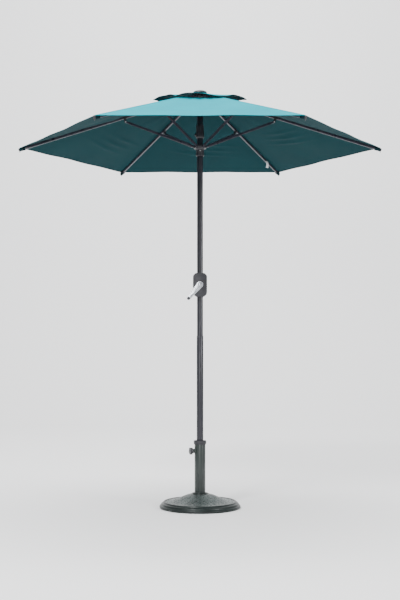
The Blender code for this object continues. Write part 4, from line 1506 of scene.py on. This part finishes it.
@dataclass
class CanopyFrame(SubAssembly):
    """The ribs with their brackets and end caps, and the struts."""

    half_width: float = 0.0050
    half_depth: float = 0.0075
    corner: float = 0.0022
    tube_start: float = 0.0180
    eye_radius: float = 0.0060
    eye_half: float = 0.0030
    bore: float = 0.0021
    strap_half_length: float = 0.0120
    cheek_half: float = 0.0075
    cheek_gap: float = 0.0033
    cheek_wall: float = 0.0024
    rivet_radius: float = 0.0020
    rivet_head: float = 0.0034
    strut_half_width: float = 0.0045
    strut_half_depth: float = 0.0065
    strut_wall: float = 0.0012
    cover: float = 0.0012
    cheek_foot: float = 0.0066

    def eye(self, bore: float) -> Piece:
        """The ring at the end of a flattened tube, its axis along Y."""
        ring = square_ring(bore, self.eye_radius, self.eye_half, -self.eye_half)
        return moved(lathe("eye", rounded(ring, 0.0007), 32), ABOUT_Y)

    def neck(self, start: float, end: float) -> Piece:
        """The flattened length between an eye at x = START and the full section at END.

        Args:
            start: x of the eye's middle.
            end: x where the full section begins.

        Returns:
            The bar.
        """
        flat = (self.eye_half - 0.0001, 0.0050, 0.0012)
        way = 1 if end > start else -1
        sections = [
            (start + way * 0.0045, *flat),
            (end - way * 0.0060, *flat),
            (end, self.half_width - 0.0003, 0.0068, 0.0020),
        ]
        return bar("neck", sections[::way])

    def bracket(self) -> list[Piece]:
        """Strap, cheeks and rivet of the strut's hinge, in the rib's frame.

        Returns:
            The dressed pieces.
        """
        inverse = self.rig.rib_frame(0).inverted()
        pivot = inverse @ Vector((self.rig.joint_radius, 0, self.rig.joint_height))
        start, end = pivot.x - self.strap_half_length, pivot.x + self.strap_half_length
        y, z = self.half_width + self.cover, self.half_depth + self.cover
        strap = bar(
            "strap",
            [
                (start, y - 0.0006, z - 0.0006, 0.0022),
                (start + 0.0008, y, z, 0.0026),
                (end - 0.0008, y, z, 0.0026),
                (end, y - 0.0006, z - 0.0006, 0.0022),
            ],
        )
        foot = arc((0, pivot.z), self.cheek_foot, 0.0, -math.pi, 10)
        outline = [(self.cheek_half, 0.0), *foot, (-self.cheek_half, 0.0)]
        pieces = [smoothed(strap, self.finishes.plastic)]
        for side in (-1, 1):
            middle = side * (self.cheek_gap + self.cheek_wall / 2)
            facing = at(pivot.x, middle, 0) @ ABOUT_Y
            cheek = slab("cheek", [outline], self.cheek_wall, facing, 0.0005)
            pieces.append(smoothed(cheek, self.finishes.plastic))
        reach, head = self.cheek_gap + self.cheek_wall, self.rivet_head
        dome = [(0.0, reach + 0.0016), (head * 0.6, reach + 0.0013), (head, reach + 0.0002)]
        half = [*dome, (head, reach - 0.0003), (self.rivet_radius, reach - 0.0003)]
        profile = half + [(r, -h) for r, h in half[::-1]]
        rivet = moved(lathe("rivet", profile, 24, closed=False), at(*pivot) @ ABOUT_Y)
        return [*pieces, smoothed(rivet, self.finishes.zinc)]

    def rib(self) -> Piece:
        """One rib in its own frame.

        Returns:
            The rib.
        """
        start, end = self.tube_start, self.rig.rib_end
        size = (self.half_width, self.half_depth, self.corner)
        tube = bar("tube", [(start, *size), (end, *size)], 4)
        metal = [tube, self.neck(0.0, start + 0.0005), self.eye(self.bore)]
        return joined("rib_pattern", [made_of(self.finishes.frame, "rib_pattern", *metal), *self.bracket()])

    def end_cap(self) -> Piece:
        """The moulded cap on a rib's end, with its hook for the cloth's corner.

        Returns:
            The cap.
        """
        start, end = self.rig.rib_end + 0.0002, self.rig.rib_length
        y, z = self.half_width + self.cover, self.half_depth + self.cover
        cap = bar(
            "cap",
            [
                (start, y - 0.0004, z - 0.0004, 0.0024),
                (start + 0.0010, y, z, 0.0028),
                (end - 0.0040, y, z, 0.0032),
                (end - 0.0012, y - 0.0010, z - 0.0012, 0.0034),
                (end, y - 0.0028, z - 0.0034, 0.0028),
            ],
            4,
        )
        shank = [(0.0, 0.0), (0.0015, 0.0), (0.0019, -0.0010), (0.0018, -0.0062)]
        hook = lathe("hook", [*shank, (0.0027, -0.0086), (0.0, -0.0086)], 16, closed=False)
        moved(hook, at(end - 0.0060, 0, -z + 0.0015) @ Matrix.Rotation(-0.35, 4, "Y"))
        return made_of(self.finishes.plastic, "cap_pattern", cap, hook)

    def strut(self) -> Piece:
        """One strut in its own frame: a folded channel with flattened ends.

        Returns:
            The strut.
        """
        length = self.rig.strut_length
        y, z, wall = self.strut_half_width, self.strut_half_depth, self.strut_wall
        inside = [(y - wall, -z), (y - wall, z - wall), (wall - y, z - wall), (wall - y, -z)]
        section = rounded([(-y, -z), (-y, z), (y, z), (y, -z), *inside], 0.0011, 2)
        turn = Matrix(((0, 0, 1, 0), (1, 0, 0, 0), (0, 1, 0, 0), (0, 0, 0, 1)))
        channel = slab("channel", [section], length - 0.034, at(-length / 2, 0, 0) @ turn)
        pieces = [channel, self.neck(0.0, -0.0185), moved(self.neck(0.0, 0.0185), at(-length, 0, 0))]
        pieces += [self.eye(self.rivet_radius + 0.0003), moved(self.eye(self.bore), at(-length, 0, 0))]
        return made_of(self.finishes.frame, "strut_pattern", *pieces)

    def build(self) -> list[Piece]:
        """Every rib, end cap and strut on its body.

        Returns:
            The pieces.
        """
        patterns = [
            (self.rib(), self.rig.rib_frame, Slot.FRAME, "rib", "rib", "rib_arm"),
            (self.end_cap(), self.rig.rib_frame, Slot.PLASTIC, "rib", "rib_tip", "rib_end_cap"),
            (self.strut(), self.rig.strut_frame, Slot.FRAME, "strut", "strut", "strut_arm"),
        ]
        pieces = []
        for pattern, frame_of, slot, body, node, name in patterns:
            for number in range(1, RIBS + 1):
                piece = copy_of(pattern, f"{name}_{number}", frame_of(number - 1))
                pieces.append(self.settle(piece, f"{body}_{number}", slot, [f"{node}_{number}"]))
            bpy.data.objects.remove(pattern)
        return pieces


# ------------------------------------------------------------------ crown, runner, tilt


@dataclass
class Hubs(SubAssembly):
    """The crown, the runner, the tilt knuckle's sleeve and the top cap."""

    hub_radius: float = 0.0385
    slot_start: float = 0.0250
    slot_half: float = 0.0033
    hub_half: float = 0.0085
    wire: float = 0.0015
    sleeve_wall: float = 0.0045
    pole_bore: float = 0.0183
    runner_bore: float = 0.0195

    def hub_outline(self) -> Profile:
        """A round plate with six slots for the eyes.

        Returns:
            Points in order.
        """
        points: Profile = []
        lip = math.asin(self.slot_half / self.hub_radius)
        floor = math.asin(self.slot_half / self.slot_start)
        for index in range(RIBS):
            here = index * math.tau / RIBS
            for angle in (here - floor, here + floor):
                points.append((self.slot_start * math.cos(angle), self.slot_start * math.sin(angle)))
            points += arc((0, 0), self.hub_radius, here + lip, here + math.tau / RIBS - lip, 10)
        return points

    def wire_ring(self, name: str, height: float) -> Piece:
        """The ring that the eyes turn on."""
        middle, around = self.rig.pin_ring, np.linspace(0, math.tau, 12, endpoint=False)
        profile = [(middle + self.wire * math.sin(a), height + self.wire * math.cos(a)) for a in around]
        return smoothed(lathe(name, profile, 96), self.finishes.zinc, 60)

    def hub(self, name: str, height: float, bore: float, sleeve_length: float, flare: float) -> Piece:
        """A slotted hub over a sleeve.

        Args:
            name: the object's name.
            height: how high its middle is.
            bore: the hole's radius.
            sleeve_length: how far the sleeve hangs below the plate.
            flare: how far the sleeve's top spreads.

        Returns:
            The hub.
        """
        outlines = [self.hub_outline(), circle(bore, 64)]
        plate = slab(f"{name}_plate", outlines, 2 * self.hub_half, at(0, 0, height), 0.0008)
        top = height - self.hub_half + 0.001
        outer = bore + self.sleeve_wall
        foot = height - self.hub_half - sleeve_length
        profile = [
            (bore, top),
            (outer + flare, top),
            (outer, top - 0.008),
            (outer, foot + 0.010),
            (outer + 0.0012, foot + 0.008),
            (outer + 0.0012, foot + 0.002),
            (outer - 0.0008, foot),
            (bore, foot),
        ]
        sleeve = lathe(f"{name}_sleeve", rounded(profile, 0.0014, 2), 72)
        return made_of(self.finishes.plastic, name, plate, sleeve)

    def crown(self) -> list[Piece]:
        """The crown hub on the pole's end, its ring and the cap above the vent.

        Returns:
            The pieces.
        """
        low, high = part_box("top_cap")
        cap_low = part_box("vent_1")[1].z + 0.0006
        radius, edge = high.x, 0.0035
        rise = high.z - cap_low - edge
        steps = [math.pi / 2 * i / 12 for i in range(13)]
        dome = [(radius * math.sin(a), cap_low + edge + rise * math.cos(a) ** 0.9) for a in steps]
        stud = [(0.0050, cap_low), (0.0050, low.z), (0.0, low.z)]
        profile = [*dome, (radius, cap_low + 0.0010), (radius - 0.002, cap_low), *stud]
        cap = smoothed(lathe("top_cap_dome", profile, 72, closed=False), self.finishes.plastic)
        pole_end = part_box("upper_pole")[1].z
        sleeve = self.rig.crown - self.hub_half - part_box("crown")[0].z
        hub = self.hub("crown_hub", self.rig.crown, self.pole_bore, sleeve, 0.003)
        lid = square_ring(0.0, 0.0200, self.rig.crown + self.hub_half - 0.0006, pole_end)
        lid_piece = smoothed(lathe("crown_lid", lid, 48, closed=False), self.finishes.plastic)
        whole = joined("crown_hub", [hub, lid_piece])
        ring = self.wire_ring("crown_ring", self.rig.crown)
        return [
            self.settle(cap, "upper_pole", Slot.PLASTIC, ["top_cap"]),
            self.settle(whole, "upper_pole", Slot.PLASTIC, ["crown"]),
            self.settle(ring, "upper_pole", Slot.ZINC, ["crown_wire"]),
        ]

    def runner(self) -> list[Piece]:
        """The sliding hub, its ring and the screw on its front.

        Returns:
            The pieces.
        """
        length = self.rig.runner - self.hub_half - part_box("runner")[0].z
        hub = self.hub("runner_hub", self.rig.runner, self.runner_bore, length, 0.006)
        ring = self.wire_ring("runner_ring", self.rig.runner)
        low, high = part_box("runner_screw")
        spot = mesh_object("runner_screw_head", [(0.0, low.y + 0.0014, (low.z + high.z) / 2)])
        screw = ScrewHeads({"Head Radius": 0.0042, "Head Height": 0.0028}).run(spot, self.finishes.zinc)
        return [
            self.settle(hub, "runner", Slot.PLASTIC, ["runner"]),
            self.settle(ring, "runner", Slot.ZINC, ["runner_wire"]),
            self.settle(screw, "runner", Slot.ZINC, ["runner_screw"]),
        ]

    def knuckle(self) -> list[Piece]:
        """The tilt sleeve with the boss round its button, and the button.

        Returns:
            The pieces.
        """
        low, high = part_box("tilt_sleeve")
        wall = high.x
        button_low, button_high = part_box("tilt_button")
        height = (button_low.z + button_high.z) / 2
        profile = [
            (self.pole_bore, high.z),
            (wall - 0.003, high.z),
            (wall, high.z - 0.006),
            (wall, height + 0.018),
            (wall + 0.0014, height + 0.014),
            (wall + 0.0014, height - 0.014),
            (wall, low.z + 0.006),
            (wall - 0.002, low.z),
            (self.pole_bore, low.z),
        ]
        sleeve = lathe("tilt_sleeve_body", rounded(profile, 0.0016, 3), 72)
        boss_ring = [(0.0069, -low.x), (0.0100, -low.x), (0.0112, 0.0205), (0.0069, 0.0205)]
        place = at(0, 0, height) @ TO_MINUS_X
        boss = moved(lathe("boss", rounded(boss_ring, 0.0010, 2), 40), place)
        body = made_of(self.finishes.plastic, "tilt_sleeve_body", sleeve, boss)
        radius = (button_high.z - button_low.z) / 2
        face, back = -button_low.x, -button_high.x
        press = [(0.0, face), (radius * 0.55, face - 0.0002), (radius - 0.0006, face - 0.0010)]
        press += [(radius, face - 0.0022), (radius, back), (0.0, back)]
        button = moved(lathe("tilt_push_button", press, 40, closed=False), place)
        smoothed(button, self.finishes.plastic)
        return [
            self.settle(body, "upper_pole", Slot.PLASTIC, ["tilt_sleeve"]),
            self.settle(button, "tilt_button", Slot.PLASTIC, ["tilt_button"]),
        ]

    def build(self) -> list[Piece]:
        """Crown, runner and knuckle."""
        return [*self.crown(), *self.runner(), *self.knuckle()]


# ------------------------------------------------------------------ pole and crank


@dataclass
class Pole(SubAssembly):
    """The two tubes of the pole."""

    upper_radius: float = 0.0180
    wall: float = 0.0014
    bead_height: float = 0.0060

    def build(self) -> list[Piece]:
        """Smooth tubes with rolled ends, and the bead on the upper one.

        Returns:
            The pieces.
        """
        low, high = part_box("upper_pole")
        lower_low, lower_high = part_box("lower_pole")
        upper, lower = self.upper_radius, lower_high.x
        bead = lower_high.z + 0.0003
        profile = [
            (upper - self.wall, high.z),
            (upper, high.z),
            (upper, bead + self.bead_height + 0.002),
            (lower - 0.0006, bead + self.bead_height),
            (lower, bead + self.bead_height - 0.002),
            (lower, bead),
            (upper, bead),
            (upper, low.z),
            (upper - self.wall, low.z),
        ]
        top = smoothed(lathe("upper_pole_tube", rounded(profile, 0.0009, 2), 96), self.finishes.pole)
        ring = square_ring(lower - self.wall, lower, lower_high.z, lower_low.z)
        bottom = smoothed(lathe("lower_pole_tube", rounded(ring, 0.0006, 2), 96), self.finishes.pole)
        return [
            self.settle(top, "upper_pole", Slot.POLE, ["upper_pole"]),
            self.settle(bottom, "lower_pole", Slot.POLE, ["lower_pole"]),
        ]


@dataclass
class Crank(SubAssembly):
    """The housing on the pole, the silver arm and its grip."""

    chamfer: float = 0.016
    bottom_radius: float = 0.026
    edge: float = 0.0045
    arm_thickness: float = 0.0060
    head_radius: float = 0.0190
    end_radius: float = 0.0085
    grip_length: float = 0.030
    pole_bore: float = 0.0182
    collar_radius: float = 0.0225
    collar_half: float = 0.004

    def outline(self, box: tuple[Vector, Vector], inset: float = 0.0) -> Profile:
        """The housing's outline in X and Z: cut corners above, round below.

        Args:
            box: two corners of the housing's box.
            inset: how far inside the box it stays.

        Returns:
            Points in order, as (x, z).
        """
        low, high = box
        half, middle = high.x - inset, (low.z + high.z) / 2
        tall = (high.z - low.z) / 2 - inset
        cut, radius = self.chamfer, self.bottom_radius - inset
        shape = [(half, tall - cut), (half - cut, tall), (-(half - cut), tall), (-half, tall - cut)]
        shape = [
            *rounded([(-half, 0.0), *shape[::-1], (half, 0.0)], 0.006, 4, closed=False)[::-1],
            *arc((-(half - radius), -(tall - radius)), radius, math.pi, 1.5 * math.pi, 10),
            *arc((half - radius, -(tall - radius)), radius, 1.5 * math.pi, math.tau, 10),
        ]
        return [(x, z + middle) for x, z in shape]

    def shell(self, name: str, node: str) -> Piece:
        """Half of the housing, from its node's box, with eased edges.

        Args:
            name: the object's name.
            node: the node that gives its box.

        Returns:
            The shell.
        """
        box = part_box(node)
        near, far = box[0].y, box[1].y
        facing = at(0, (near + far) / 2, 0) @ ABOUT_Y
        half = slab(name, [self.outline(box)], far - near, facing, self.edge, 4)
        return smoothed(half, self.finishes.plastic)

    def housing(self) -> list[Piece]:
        """Two half shells, the boss round the shaft and the collars on the pole.

        Returns:
            The pieces.
        """
        front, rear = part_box("crank_housing_front"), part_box("crank_housing_rear")
        crank = self.rig.crank
        face = front[0].y
        boss = [(0.0060, 0.0016), (0.0215, 0.0016), (0.0235, 0.0), (0.0235, -0.004), (0.0060, -0.004)]
        boss_piece = moved(lathe("boss", rounded(boss, 0.0008, 2), 64), at(0, face, crank.z) @ ABOUT_Y)
        facing = at(0, face + 0.0012, 0) @ ABOUT_Y
        panel = slab("panel", [self.outline(front, 0.0085)], 0.004, facing, 0.0009, 2)
        collars = []
        for height in (front[1].z - 0.001, front[0].z + 0.001):
            half = self.collar_half
            ring = square_ring(self.pole_bore, self.collar_radius, height + half, height - half)
            collars.append(lathe("collar", rounded(ring, 0.0015, 2), 64))
        extras = [smoothed(p, self.finishes.plastic) for p in (boss_piece, panel, *collars)]
        body = joined("crank_case_front", [self.shell("crank_case_front", "crank_housing_front"), *extras])
        back = self.shell("crank_case_rear", "crank_housing_rear")
        spots = []
        for number in (1, 2):
            low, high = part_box(f"housing_screw_{number}")
            spots.append(((low.x + high.x) / 2, rear[1].y + 0.0010, (low.z + high.z) / 2))
        screws = ScrewHeads().run(mesh_object("crank_case_screws", spots), self.finishes.zinc)
        return [
            self.settle(body, "upper_pole", Slot.PLASTIC, ["crank_housing_front"]),
            self.settle(back, "upper_pole", Slot.PLASTIC, ["crank_housing_rear"]),
            self.settle(screws, "upper_pole", Slot.ZINC, ["housing_screw_1", "housing_screw_2"]),
        ]

    def arm(self) -> Piece:
        """The cast arm: a round head, a tapering blade with a raised rib, and the grip's pin.

        Returns:
            The arm.
        """
        crank, grip = self.rig.crank, self.rig.grip
        reach = Vector((grip.x - crank.x, grip.z - crank.z))
        lean, length = math.atan2(reach.y, reach.x), reach.length
        flank = math.acos((self.head_radius - self.end_radius) / length)
        outline = [
            *arc((0, 0), self.head_radius, lean + flank, lean + math.tau - flank, 36),
            *arc(reach, self.end_radius, lean - flank, lean + flank, 14),
        ]
        outwards = at(0, 0, crank.z) @ ABOUT_Y
        front = -crank.y
        middle = at(0, 0, front - self.arm_thickness / 2)
        blade = slab("blade", [outline], self.arm_thickness, middle, 0.0018, 3)
        cap = [(0.0, 0.0065), (0.0060, 0.0062), (0.0105, 0.0050), (0.0130, 0.0022)]
        cap += [(0.0140, -0.001), (0.0, -0.001)]
        dome = moved(lathe("dome", cap, 48, closed=False), at(0, 0, front))
        across = Vector((-reach.y, reach.x)).normalized() * 0.0028
        start, end = reach * 0.17, reach * 0.88
        corners = [end + across * 0.6, end - across * 0.6, start - across, start + across]
        spine = slab("spine", [[tuple(c) for c in corners]], 0.0030, at(0, 0, front), 0.0008, 2)
        ring = square_ring(0.0030, 0.0072, 0.0012, -0.001)
        seat = moved(lathe("seat", rounded(ring, 0.0006, 2), 32), at(*reach, front - 0.0007))
        pin_profile = square_ring(0.0, 0.0029, self.grip_length - 0.005, -0.003)
        pin = moved(lathe("pin", pin_profile, 24, closed=False), at(*reach, front))
        arm = made_of(self.finishes.silver, "crank_arm_casting", blade, dome, spine, seat, pin)
        return moved(arm, outwards)

    def grip(self) -> Piece:
        """The spinning grip: a waisted barrel with two grooves.

        Returns:
            The grip.
        """
        radius, top = 0.0095, self.grip_length
        profile = [
            (0.0, top),
            (radius - 0.0045, top),
            (radius - 0.0012, top - 0.0014),
            (radius, top - 0.0050),
            (radius - 0.0003, top - 0.0090),
            (radius - 0.0010, top - 0.0095),
            (radius - 0.0008, top - 0.0110),
            (radius - 0.0018, top - 0.0160),
            (radius - 0.0025, 0.0090),
            (radius - 0.0022, 0.0040),
            (radius - 0.0014, 0.0008),
            (0.0034, 0.0008),
            (0.0034, 0.0040),
            (0.0, 0.0040),
        ]
        barrel = lathe("crank_grip_barrel", profile, 48, closed=False)
        return moved(smoothed(barrel, self.finishes.plastic), at(*self.rig.grip) @ ABOUT_Y)

    def build(self) -> list[Piece]:
        """Housing, arm and grip.

        Returns:
            The pieces.
        """
        return [
            *self.housing(),
            self.settle(self.arm(), "crank", Slot.SILVER, ["crank_arm"]),
            self.settle(self.grip(), "crank_grip", Slot.PLASTIC, ["crank_grip"]),
        ]


# ------------------------------------------------------------------ base


@dataclass
class Base(SubAssembly):
    """The cast plate, the tube with its collar, and the clamp."""

    segments: int = 420
    weave_rows: int = 112
    collar_radius: float = 0.048
    collar_height: float = 0.090
    dome_height: float = 0.080
    weave_edge: float = 0.203
    rim_height: float = 0.039
    knob_radius: float = 0.0210
    knob_lobes: int = 5
    lobe_depth: float = 0.0030
    clamp_azimuth: float = math.radians(200)
    thread_pitch: float = 0.00125

    @property
    def weave_foot(self) -> float:
        """Height of the woven field where it meets the rim."""
        return self.rim_height - 0.0035

    def dome(self) -> Profile:
        """The field that carries the weave, from the collar to the rim.

        Returns:
            Points from the collar out.
        """
        points: Profile = []
        for i in range(self.weave_rows + 1):
            share = i / self.weave_rows
            fall = 0.5 - 0.5 * math.cos(math.pi * share**0.85)
            height = self.dome_height + (self.weave_foot - self.dome_height) * fall
            points.append((self.collar_radius + (self.weave_edge - self.collar_radius) * share, height))
        return points

    def plate(self) -> Piece:
        """The whole casting: collar, woven dome, two-step rim and hollow underside.

        Returns:
            The casting.
        """
        outer, edge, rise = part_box("base_plate")[1].x, self.weave_edge, self.rim_height
        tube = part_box("base_tube")[1].y + 0.0003
        collar = [
            (tube, self.collar_height),
            (self.collar_radius - 0.0050, self.collar_height),
            (self.collar_radius - 0.0010, self.collar_height - 0.0030),
            (self.collar_radius, self.collar_height - 0.0080),
        ]
        rim = [
            (edge + 0.0012, self.weave_foot),
            (edge + 0.0022, rise + 0.0004),
            (outer - 0.0270, rise + 0.0004),
            (outer - 0.0245, rise - 0.0010),
            (outer - 0.0215, rise - 0.0062),
            (outer - 0.0165, rise - 0.0090),
            (outer - 0.0130, rise - 0.0100),
            (outer - 0.0100, rise - 0.0130),
            (outer - 0.0075, 0.0185),
            (outer - 0.0030, 0.0165),
            (outer, 0.0125),
            (outer, 0.0030),
            (outer - 0.0030, 0.0),
            (outer - 0.0350, 0.0),
            (outer - 0.0390, 0.0120),
            (0.0790, 0.0120),
            (0.0750, 0.0),
            (0.0280, 0.0),
            (0.0280, 0.0130),
            (0.0053, 0.0130),
            (0.0053, 0.0297),
            (tube, 0.0297),
        ]
        shoulder = rounded(collar[::-1], 0.0020, 3, closed=False)[::-1]
        border = rounded([(edge, self.weave_foot), *rim, (tube, 0.0310)], 0.0016, 3, closed=False)
        profile = [*shoulder, *self.dome()[1:], *border[1:-1]]
        casting = lathe("base_casting", profile, self.segments)
        return shaded(BasketRelief().run(casting, self.finishes.cast), 50)

    def tube(self) -> Piece:
        """The upright tube with its weld bead and the welded boss.

        Returns:
            The tube.
        """
        low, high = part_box("base_tube")
        radius, collar = high.y, self.collar_height
        profile = square_ring(radius - 0.002, radius, high.z, low.z)
        upright = lathe("upright", rounded(profile, 0.0005, 2), 96)
        bead = [(radius - 0.001, collar + 0.0035), (radius + 0.0022, collar + 0.0026)]
        bead += [(radius + 0.0042, collar + 0.0002), (radius - 0.001, collar + 0.0002)]
        weld = lathe("weld", rounded(bead, 0.0010, 2), 96)
        boss_ring = square_ring(0.0043, 0.0125, radius + 0.012, radius - 0.003)
        fillet = [(0.0120, radius + 0.0035), (0.0150, radius - 0.0005), (0.0120, radius - 0.003)]
        pieces = [upright, weld]
        for ring in (rounded(boss_ring, 0.0010, 2), rounded(fillet, 0.0006, 2)):
            pieces.append(moved(lathe("boss", ring, 48), self.clamp_place()))
        return made_of(self.finishes.base_tube, "base_upright", *pieces)

    def clamp_place(self) -> Matrix:
        """Takes +Z to the clamp screw's axis, out of the tube."""
        low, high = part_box("clamp_knob")
        turn = Matrix.Rotation(self.clamp_azimuth, 4, "Z")
        return turn @ at(0, 0, (low.z + high.z) / 2) @ ABOUT_X

    def reducer(self) -> Piece:
        """The plastic collar that lines the tube's mouth.

        Returns:
            The collar.
        """
        low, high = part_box("pole_reducer")
        flange, bore = high.y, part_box("lower_pole")[1].x + 0.0006
        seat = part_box("base_tube")[1].z + 0.0003
        profile = [
            (bore, high.z - 0.0080),
            (0.0225, high.z - 0.0035),
            (0.0250, high.z),
            (flange - 0.0030, high.z),
            (flange, high.z - 0.0030),
            (flange, seat + 0.0060),
            (flange - 0.0012, seat + 0.0045),
            (flange - 0.0012, seat),
            (0.0302, seat),
            (0.0302, low.z),
            (bore, low.z),
        ]
        return smoothed(lathe("mouth_collar", rounded(profile, 0.0012, 3), 96), self.finishes.plastic)

    def clamp(self) -> list[Piece]:
        """The threaded screw and the lobed knob.

        Returns:
            The pieces.
        """
        place = self.clamp_place()
        inverse = place.inverted()
        spans = []
        for node in ("clamp_screw", "clamp_knob"):
            reach = [(inverse @ v.co).z for v in bpy.data.objects[node].data.vertices]
            spans.append((min(reach), max(reach)))
        (tip, end), (near, far) = spans
        thread: Profile = [(0.0, end), (0.0034, end)]
        height = end - 0.0004
        while height > tip + 0.0022:
            thread += [(0.0040, height), (0.0034, height - self.thread_pitch / 2)]
            height -= self.thread_pitch
        thread += [(0.0030, tip), (0.0, tip)]
        worm = lathe("clamp_thread", thread, 32, closed=False)
        screw = moved(smoothed(worm, self.finishes.zinc, 20), place)
        outline, steps = [], 24 * self.knob_lobes
        for step in range(steps):
            angle = math.tau * step / steps
            dip = self.lobe_depth * (0.5 - 0.5 * math.cos(self.knob_lobes * angle)) ** 1.3
            radius = self.knob_radius - dip
            outline.append((radius * math.cos(angle), radius * math.sin(angle)))
        lobes = slab("lobes", [outline], far - near - 0.001, at(0, 0, (near + far) / 2), 0.0028, 4)
        face = [(0.0, far - 0.0002), (0.0080, far - 0.0002), (0.0110, far - 0.0012), (0.0, far - 0.0012)]
        cap = lathe("knob_face", face, 48, closed=False)
        hub = [(0.0046, near + 0.001), (0.0100, near + 0.001), (0.0090, near), (0.0046, near)]
        boss = lathe("knob_hub", rounded(hub, 0.0004, 2), 48)
        knob = moved(made_of(self.finishes.plastic, "clamp_knob_moulding", lobes, cap, boss), place)
        return [
            self.settle(screw, "clamp_screw", Slot.ZINC, ["clamp_screw"]),
            self.settle(knob, "clamp_knob", Slot.PLASTIC, ["clamp_knob"]),
        ]

    def build(self) -> list[Piece]:
        """Plate, tube, collar and clamp.

        Returns:
            The pieces.
        """
        return [
            self.settle(self.plate(), "base", Slot.CAST, ["base_plate"]),
            self.settle(self.tube(), "base", Slot.BASE_TUBE, ["base_tube"]),
            self.settle(self.reducer(), "base", Slot.PLASTIC, ["pole_reducer"]),
            *self.clamp(),
        ]


# ------------------------------------------------------------------ carried nodes


@dataclass
class CarriedNodes(SubAssembly):
    """CAD nodes that stay as they are and get a finish."""

    def build(self) -> list[Piece]:
        """Dresses each node.

        Returns:
            The pieces.
        """
        finishes = {
            "pole_foot_cap": self.finishes.plastic,
            "tube_bolt": self.finishes.zinc,
            "tube_washer": self.finishes.zinc,
            "cord_reel": self.finishes.silver,
        }
        pieces = []
        for node, finish in finishes.items():
            obj = bpy.data.objects[node]
            for slot in obj.material_slots:
                slot.material = finish.material()
            pieces.append(obj)
        return pieces


# ------------------------------------------------------------------ studio


@dataclass
class Studio:
    """Floor, backdrop, lights and camera."""

    eye_height: float = 0.994
    distance: float = 6.398
    pitch: float = math.radians(2.14)
    lens: float = 64.26
    floor_colour: Triple = (0.93, 0.93, 0.93)

    def backdrop(self) -> Piece:
        """A floor that curves up into a wall behind the umbrella.

        Returns:
            The sweep.
        """
        radius, back, front, wall, half = 2.5, 6.0, -9.0, 9.0, 11.0
        angles = np.linspace(0, math.pi / 2, 17)
        bend = [(back + radius * math.sin(a), radius - radius * math.cos(a)) for a in angles]
        line = [(front, 0.0), *bend, (back + radius, wall)]
        points = [(x, y, z) for y, z in line for x in (-half, half)]
        faces = [(2 * i, 2 * i + 1, 2 * i + 3, 2 * i + 2) for i in range(len(line) - 1)]
        sweep = mesh_object("studio_sweep", points, faces)
        smoothed(sweep, PlainFinish("studio_floor", self.floor_colour, 0.9), 60)
        return sweep

    @staticmethod
    def softbox(name: str, place: Triple, aim: Triple, size: float, power: float) -> None:
        """A square area light.

        Args:
            name: the object's name.
            place: where it is.
            aim: what it faces.
            size: side of its square, in metres.
            power: in watts.
        """
        light = bpy.data.lights.new(name, "AREA")
        light.shape = "SQUARE"
        light.size = size
        light.energy = power
        obj = new_object(name, light)
        obj.location = place
        obj.rotation_euler = (Vector(aim) - Vector(place)).to_track_quat("-Z", "Y").to_euler()

    def build(self) -> None:
        """Makes the whole studio."""
        self.backdrop()
        self.softbox("key_softbox", (-2.2, -4.2, 5.4), (0, 0, 2.2), 1.3, 520)
        self.softbox("right_softbox", (4.6, -3.4, 2.6), (0, 0, 1.2), 1.5, 170)
        self.softbox("front_softbox", (-1.2, -7.5, 2.2), (0, 0, 1.2), 1.2, 130)
        self.softbox("backdrop_softbox", (0.0, 1.5, 8.5), (0, 7.5, 2.5), 5.0, 900)
        world = bpy.data.worlds.new("studio_world")
        world.use_nodes = True
        back = world.node_tree.nodes["Background"]
        back.inputs[0].default_value = (0.95, 0.97, 1.0, 1.0)
        back.inputs[1].default_value = 0.75
        bpy.context.scene.world = world
        camera = bpy.data.cameras.new("camera")
        camera.lens = self.lens
        obj = new_object("camera", camera)
        obj.location = (0.0, -self.distance, self.eye_height)
        obj.rotation_euler = (math.pi / 2 + self.pitch, 0.0, 0.0)
        bpy.context.scene.camera = obj


def main() -> None:
    """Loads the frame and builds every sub-assembly."""
    logging.basicConfig(level=logging.INFO, format="%(name)s: %(message)s")
    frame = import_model()
    rig = Rig.read(frame)
    finishes = Finishes()
    Studio().build()
    kinds: list[type[SubAssembly]] = [MainCanopy, VentCloth, ClothTrim, CanopyFrame, Hubs]
    kinds += [Pole, Crank, Base, CarriedNodes]
    for kind in kinds:
        for piece in kind(rig, finishes).build():
            LOG.info("%s: %s with %d faces", kind.__name__, piece.name, len(piece.data.polygons))


if __name__ == "__main__":
    main()
